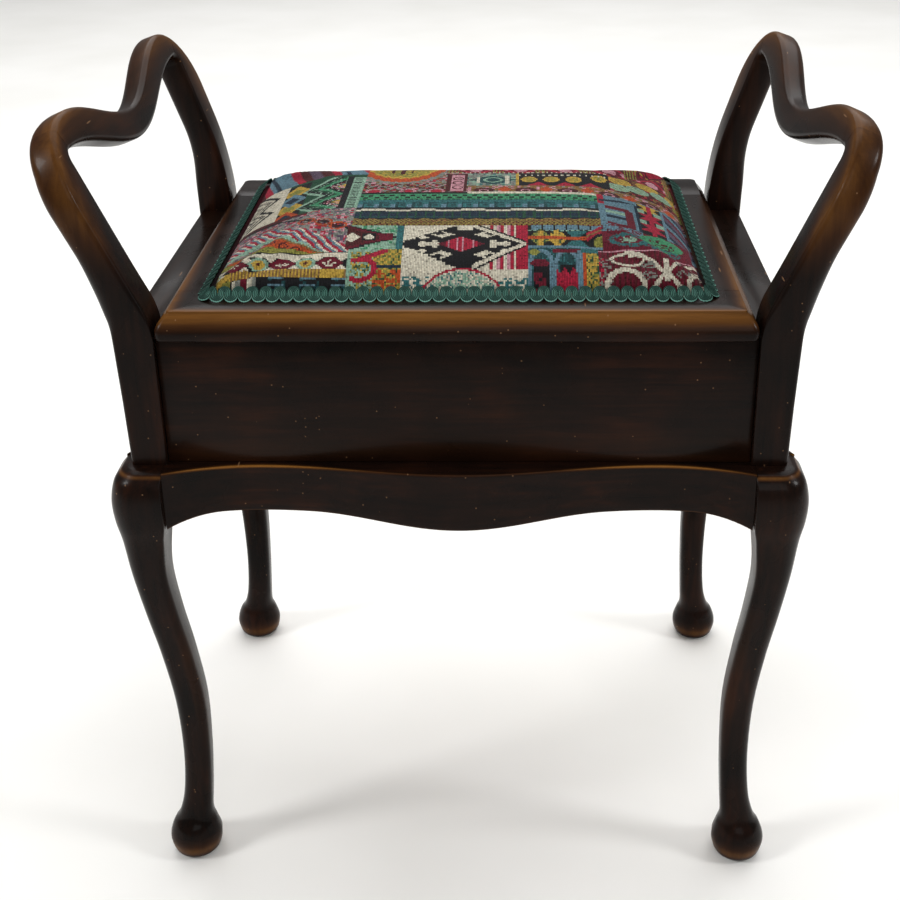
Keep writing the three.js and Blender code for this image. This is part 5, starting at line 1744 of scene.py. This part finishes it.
@dataclass
class ScrollGimp:
    """Gimp: a ribbon of four cords snaking round the foot of the pad. Sizes in mm."""

    finishes: Finishes
    low: Vector = field(default_factory=lambda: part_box("gimp_braid")[0] / MM)
    high: Vector = field(default_factory=lambda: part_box("gimp_braid")[1] / MM)
    band: float = 11.0
    width: float = 12.4
    lean: float = 36.0
    pitch: float = 10.0
    cords: int = 4
    cord_w: float = 1.2
    height: float = 1.8
    rim_shade: float = 0.3
    # The underside's level gives it the near-black hollow colour, a painted shade under the ribbon.
    base_shade: float = 0.56
    arc_steps: int = 8
    corner_r: float = 9.0

    def ribbon(self) -> list:
        """Section across the ribbon.

        Returns:
            Points (offset, height, crest) from one edge to the other and back. The crest number picks the
            colour, and the underside's number paints it with shade.
        """
        half = self.cords * self.cord_w / 2
        points = [(-half, self.height * 0.35, self.rim_shade)]
        for k in range(self.cords):
            middle = -half + (k + 0.5) * self.cord_w
            points.append((middle - 0.25 * self.cord_w, self.height * 0.88, 0.8))
            points.append((middle + 0.25 * self.cord_w, self.height, 1.0))
            last = k == self.cords - 1
            points.append((-half + (k + 1) * self.cord_w, self.height * (0.35 if last else 0.55),
                           self.rim_shade if last else 0.1))
        return points + [(half, 0.0, self.base_shade), (-half, 0.0, self.base_shade)]

    def rings(self, pitch: float) -> list:
        """Rings of one repeat of the ribbon.

        Args:
            pitch: length of a repeat.

        Returns:
            Rings of (x, y, z, along, offset, crest).
        """
        radius = pitch / 4
        run = max(0.0, self.width - 2 * (radius + self.cords * self.cord_w / 2)) / 2
        stops = []
        for k in range(self.arc_steps + 1):
            turn = math.pi + math.pi * k / self.arc_steps
            stops.append((radius, -run, turn, -1))
        for k in range(self.arc_steps + 1):
            turn = math.pi - math.pi * k / self.arc_steps
            stops.append((3 * radius, run, turn, 1))
        stops.append((5 * radius, -run, math.pi, -1))
        rings = []
        along = 0.0
        before = None
        for cx, cy, turn, way in stops:
            ring = []
            here = (cx + radius * math.cos(turn), cy + radius * math.sin(turn))
            along += math.dist(here, before) if before else 0.0
            before = here
            for offset, z, crest in self.ribbon():
                r = radius + (offset if way > 0 else -offset)
                ring.append((cx + r * math.cos(turn), cy + r * math.sin(turn), z, along, offset, crest))
            rings.append(ring)
        return rings

    def build(self) -> None:
        """Builds one repeat, copies it along, and lays the row round the pad."""
        half_x = (self.high.x - self.low.x - self.band) / 2
        half_y = (self.high.y - self.low.y - self.band) / 2
        middle_y = (self.high.y + self.low.y) / 2
        corner = self.corner_r
        straight = (2 * (half_x - corner), 2 * (half_y - corner))
        bend = math.pi / 2 * corner
        whole = 2 * sum(straight) + 4 * bend
        count = round(whole / self.pitch)
        pitch = whole / count
        rings = self.rings(pitch)
        piece = loft("scroll_gimp", [[((x, y, z), 0.0) for x, y, z, *_ in ring] for ring in rings])
        activate(piece)
        bpy.ops.object.mode_set(mode="EDIT")
        bpy.ops.mesh.select_all(action="DESELECT")
        bpy.ops.object.mode_set(mode="OBJECT")
        for face in piece.data.polygons:
            face.select = len(face.vertices) > 4
        bpy.ops.object.mode_set(mode="EDIT")
        bpy.ops.mesh.delete(type="ONLY_FACE")
        bpy.ops.object.mode_set(mode="OBJECT")
        table = {tuple(round(c, 4) for c in row[:3]): row[3:] for ring in rings for row in ring}
        lay = [table[tuple(round(c, 4) for c in (v.co / MM))] for v in piece.data.vertices]
        store_vectors(piece, "lay", np.array(lay))
        apply_modifier(piece, "ARRAY", count=count, use_relative_offset=False, use_constant_offset=True,
                       constant_offset_displace=(pitch * MM, 0, 0), use_merge_vertices=True,
                       merge_threshold=0.03 * MM)
        legs = ((straight[0], (-half_x + corner, -half_y), 0.0),
                (straight[1], (half_x, -half_y + corner), 90.0),
                (straight[0], (half_x - corner, half_y), 180.0),
                (straight[1], (-half_x, half_y - corner), 270.0))
        lean_cos, lean_sin = math.cos(math.radians(self.lean)), math.sin(math.radians(self.lean))
        for vert in piece.data.vertices:
            x, across, z = vert.co / MM
            x %= whole
            # The band leans back against the pad, hinged on its outer edge.
            climb = across + self.width / 2
            y = climb * lean_cos - z * lean_sin + z - self.band / 2
            z = climb * lean_sin + z * lean_cos
            for length, (px, py), degrees in legs:
                heading = math.radians(degrees)
                if x <= length:
                    place = (px + x * math.cos(heading) - y * math.sin(heading),
                             py + x * math.sin(heading) + y * math.cos(heading))
                    break
                x -= length
                if x <= bend:
                    turn = x / corner
                    ox = px + length * math.cos(heading) - corner * math.sin(heading)
                    oy = py + length * math.sin(heading) + corner * math.cos(heading)
                    face = heading - math.pi / 2 + turn
                    place = (ox + (corner - y) * math.cos(face), oy + (corner - y) * math.sin(face))
                    break
                x -= bend
            vert.co = Vector((place[0], place[1] + middle_y, z + self.low.z)) * MM
        finish_mesh(piece, 60)
        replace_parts(piece, "gimp_braid")
        dress(piece, Body.LID, self.finishes.gimp)


# ---- Hinges and screws --------------------------------------------------------------


@dataclass
class Metalwork:
    """Brass of the hinges and screws, and the pine dowels, as the frame has them."""

    finishes: Finishes

    def build(self) -> None:
        """Gives the small pieces of the frame their finishes."""
        for name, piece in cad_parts.items():
            if piece.hide_render:
                continue
            material = self.finishes.pine if name.startswith("arm_dowel") else self.finishes.brass
            for place in piece.material_slots:
                place.material = material
            LOG.info("%s dressed", name)


# ---- Studio -------------------------------------------------------------------------


@dataclass
class Studio:
    """Pale floor, soft lights and the camera. Metres and degrees."""

    floor: float = 14.0
    place: tuple = (0.042245, -1.055854, 0.857887)
    pitch: float = math.degrees(0.419)
    yaw: float = math.degrees(-0.021)
    roll: float = math.degrees(-0.009)
    lens: float = 55.155
    shift: tuple = (-0.0436, -0.1065)

    def camera(self) -> None:
        """Adds the camera."""
        data = bpy.data.cameras.new("view")
        data.lens = self.lens
        data.sensor_width = 36.0
        data.shift_x, data.shift_y = self.shift
        camera = bpy.data.objects.new("view", data)
        bpy.context.scene.collection.objects.link(camera)
        pitch, yaw, roll = (math.radians(a) for a in (self.pitch, self.yaw, self.roll))
        forward = Vector((math.sin(yaw) * math.cos(pitch), math.cos(yaw) * math.cos(pitch), -math.sin(pitch)))
        right = Vector((math.cos(yaw), -math.sin(yaw), 0.0))
        up = right.cross(forward)
        level_right = math.cos(roll) * right + math.sin(roll) * up
        level_up = math.cos(roll) * up - math.sin(roll) * right
        turn = Matrix((level_right, level_up, -forward)).transposed()
        camera.matrix_world = Matrix.Translation(self.place) @ turn.to_4x4()
        bpy.context.scene.camera = camera

    def light(self, name: str, place: tuple, target: tuple, size: float, power: float) -> None:
        """Adds a soft square light.

        Args:
            name: its name.
            place: where it stands.
            target: what it faces.
            size: its side.
            power: its power in watts.
        """
        data = bpy.data.lights.new(name, "AREA")
        data.size = size
        data.energy = power
        lamp = bpy.data.objects.new(name, data)
        bpy.context.scene.collection.objects.link(lamp)
        lamp.location = place
        lamp.rotation_mode = "QUATERNION"
        lamp.rotation_quaternion = (Vector(target) - Vector(place)).to_track_quat("-Z", "Y")

    def build(self) -> None:
        """Builds the floor, the lights and the camera."""
        deselect()
        bpy.ops.mesh.primitive_plane_add(size=2 * self.floor)
        floor = bpy.context.object
        floor.name = "studio_floor"
        floor.data.materials.append(PaintedFloor().build())
        self.light("overhead", (0.2, 2.0, 3.6), (0, 0.6, 0.2), 5.0, 200.0)
        self.light("left_window", (-2.2, -0.9, 1.9), (0, 0, 0.45), 0.6, 30.0)
        self.light("right_window", (2.2, -0.5, 1.7), (0, 0, 0.45), 0.5, 20.0)
        self.light("front", (0.4, -2.6, 1.9), (0, 0, 0.4), 1.8, 14.0)
        world = bpy.data.worlds.new("studio")
        world.use_nodes = True
        background = world.node_tree.nodes["Background"]
        background.inputs["Color"].default_value = (1.0, 1.0, 1.0, 1.0)
        background.inputs["Strength"].default_value = 0.28
        bpy.context.scene.world = world
        bpy.context.scene.view_settings.view_transform = "Standard"
        self.camera()


def main() -> None:
    """Builds the stool piece by piece."""
    logging.basicConfig(level=logging.INFO, format="%(name)s: %(message)s")
    finishes = Finishes()
    Stand(finishes).build()
    MusicBox(finishes).build()
    ArmLoops(finishes).build()
    LidFrame(finishes).build()
    SeatPad(finishes).build()
    ScrollGimp(finishes).build()
    Metalwork(finishes).build()
    Studio().build()


if __name__ == "__main__":
    main()
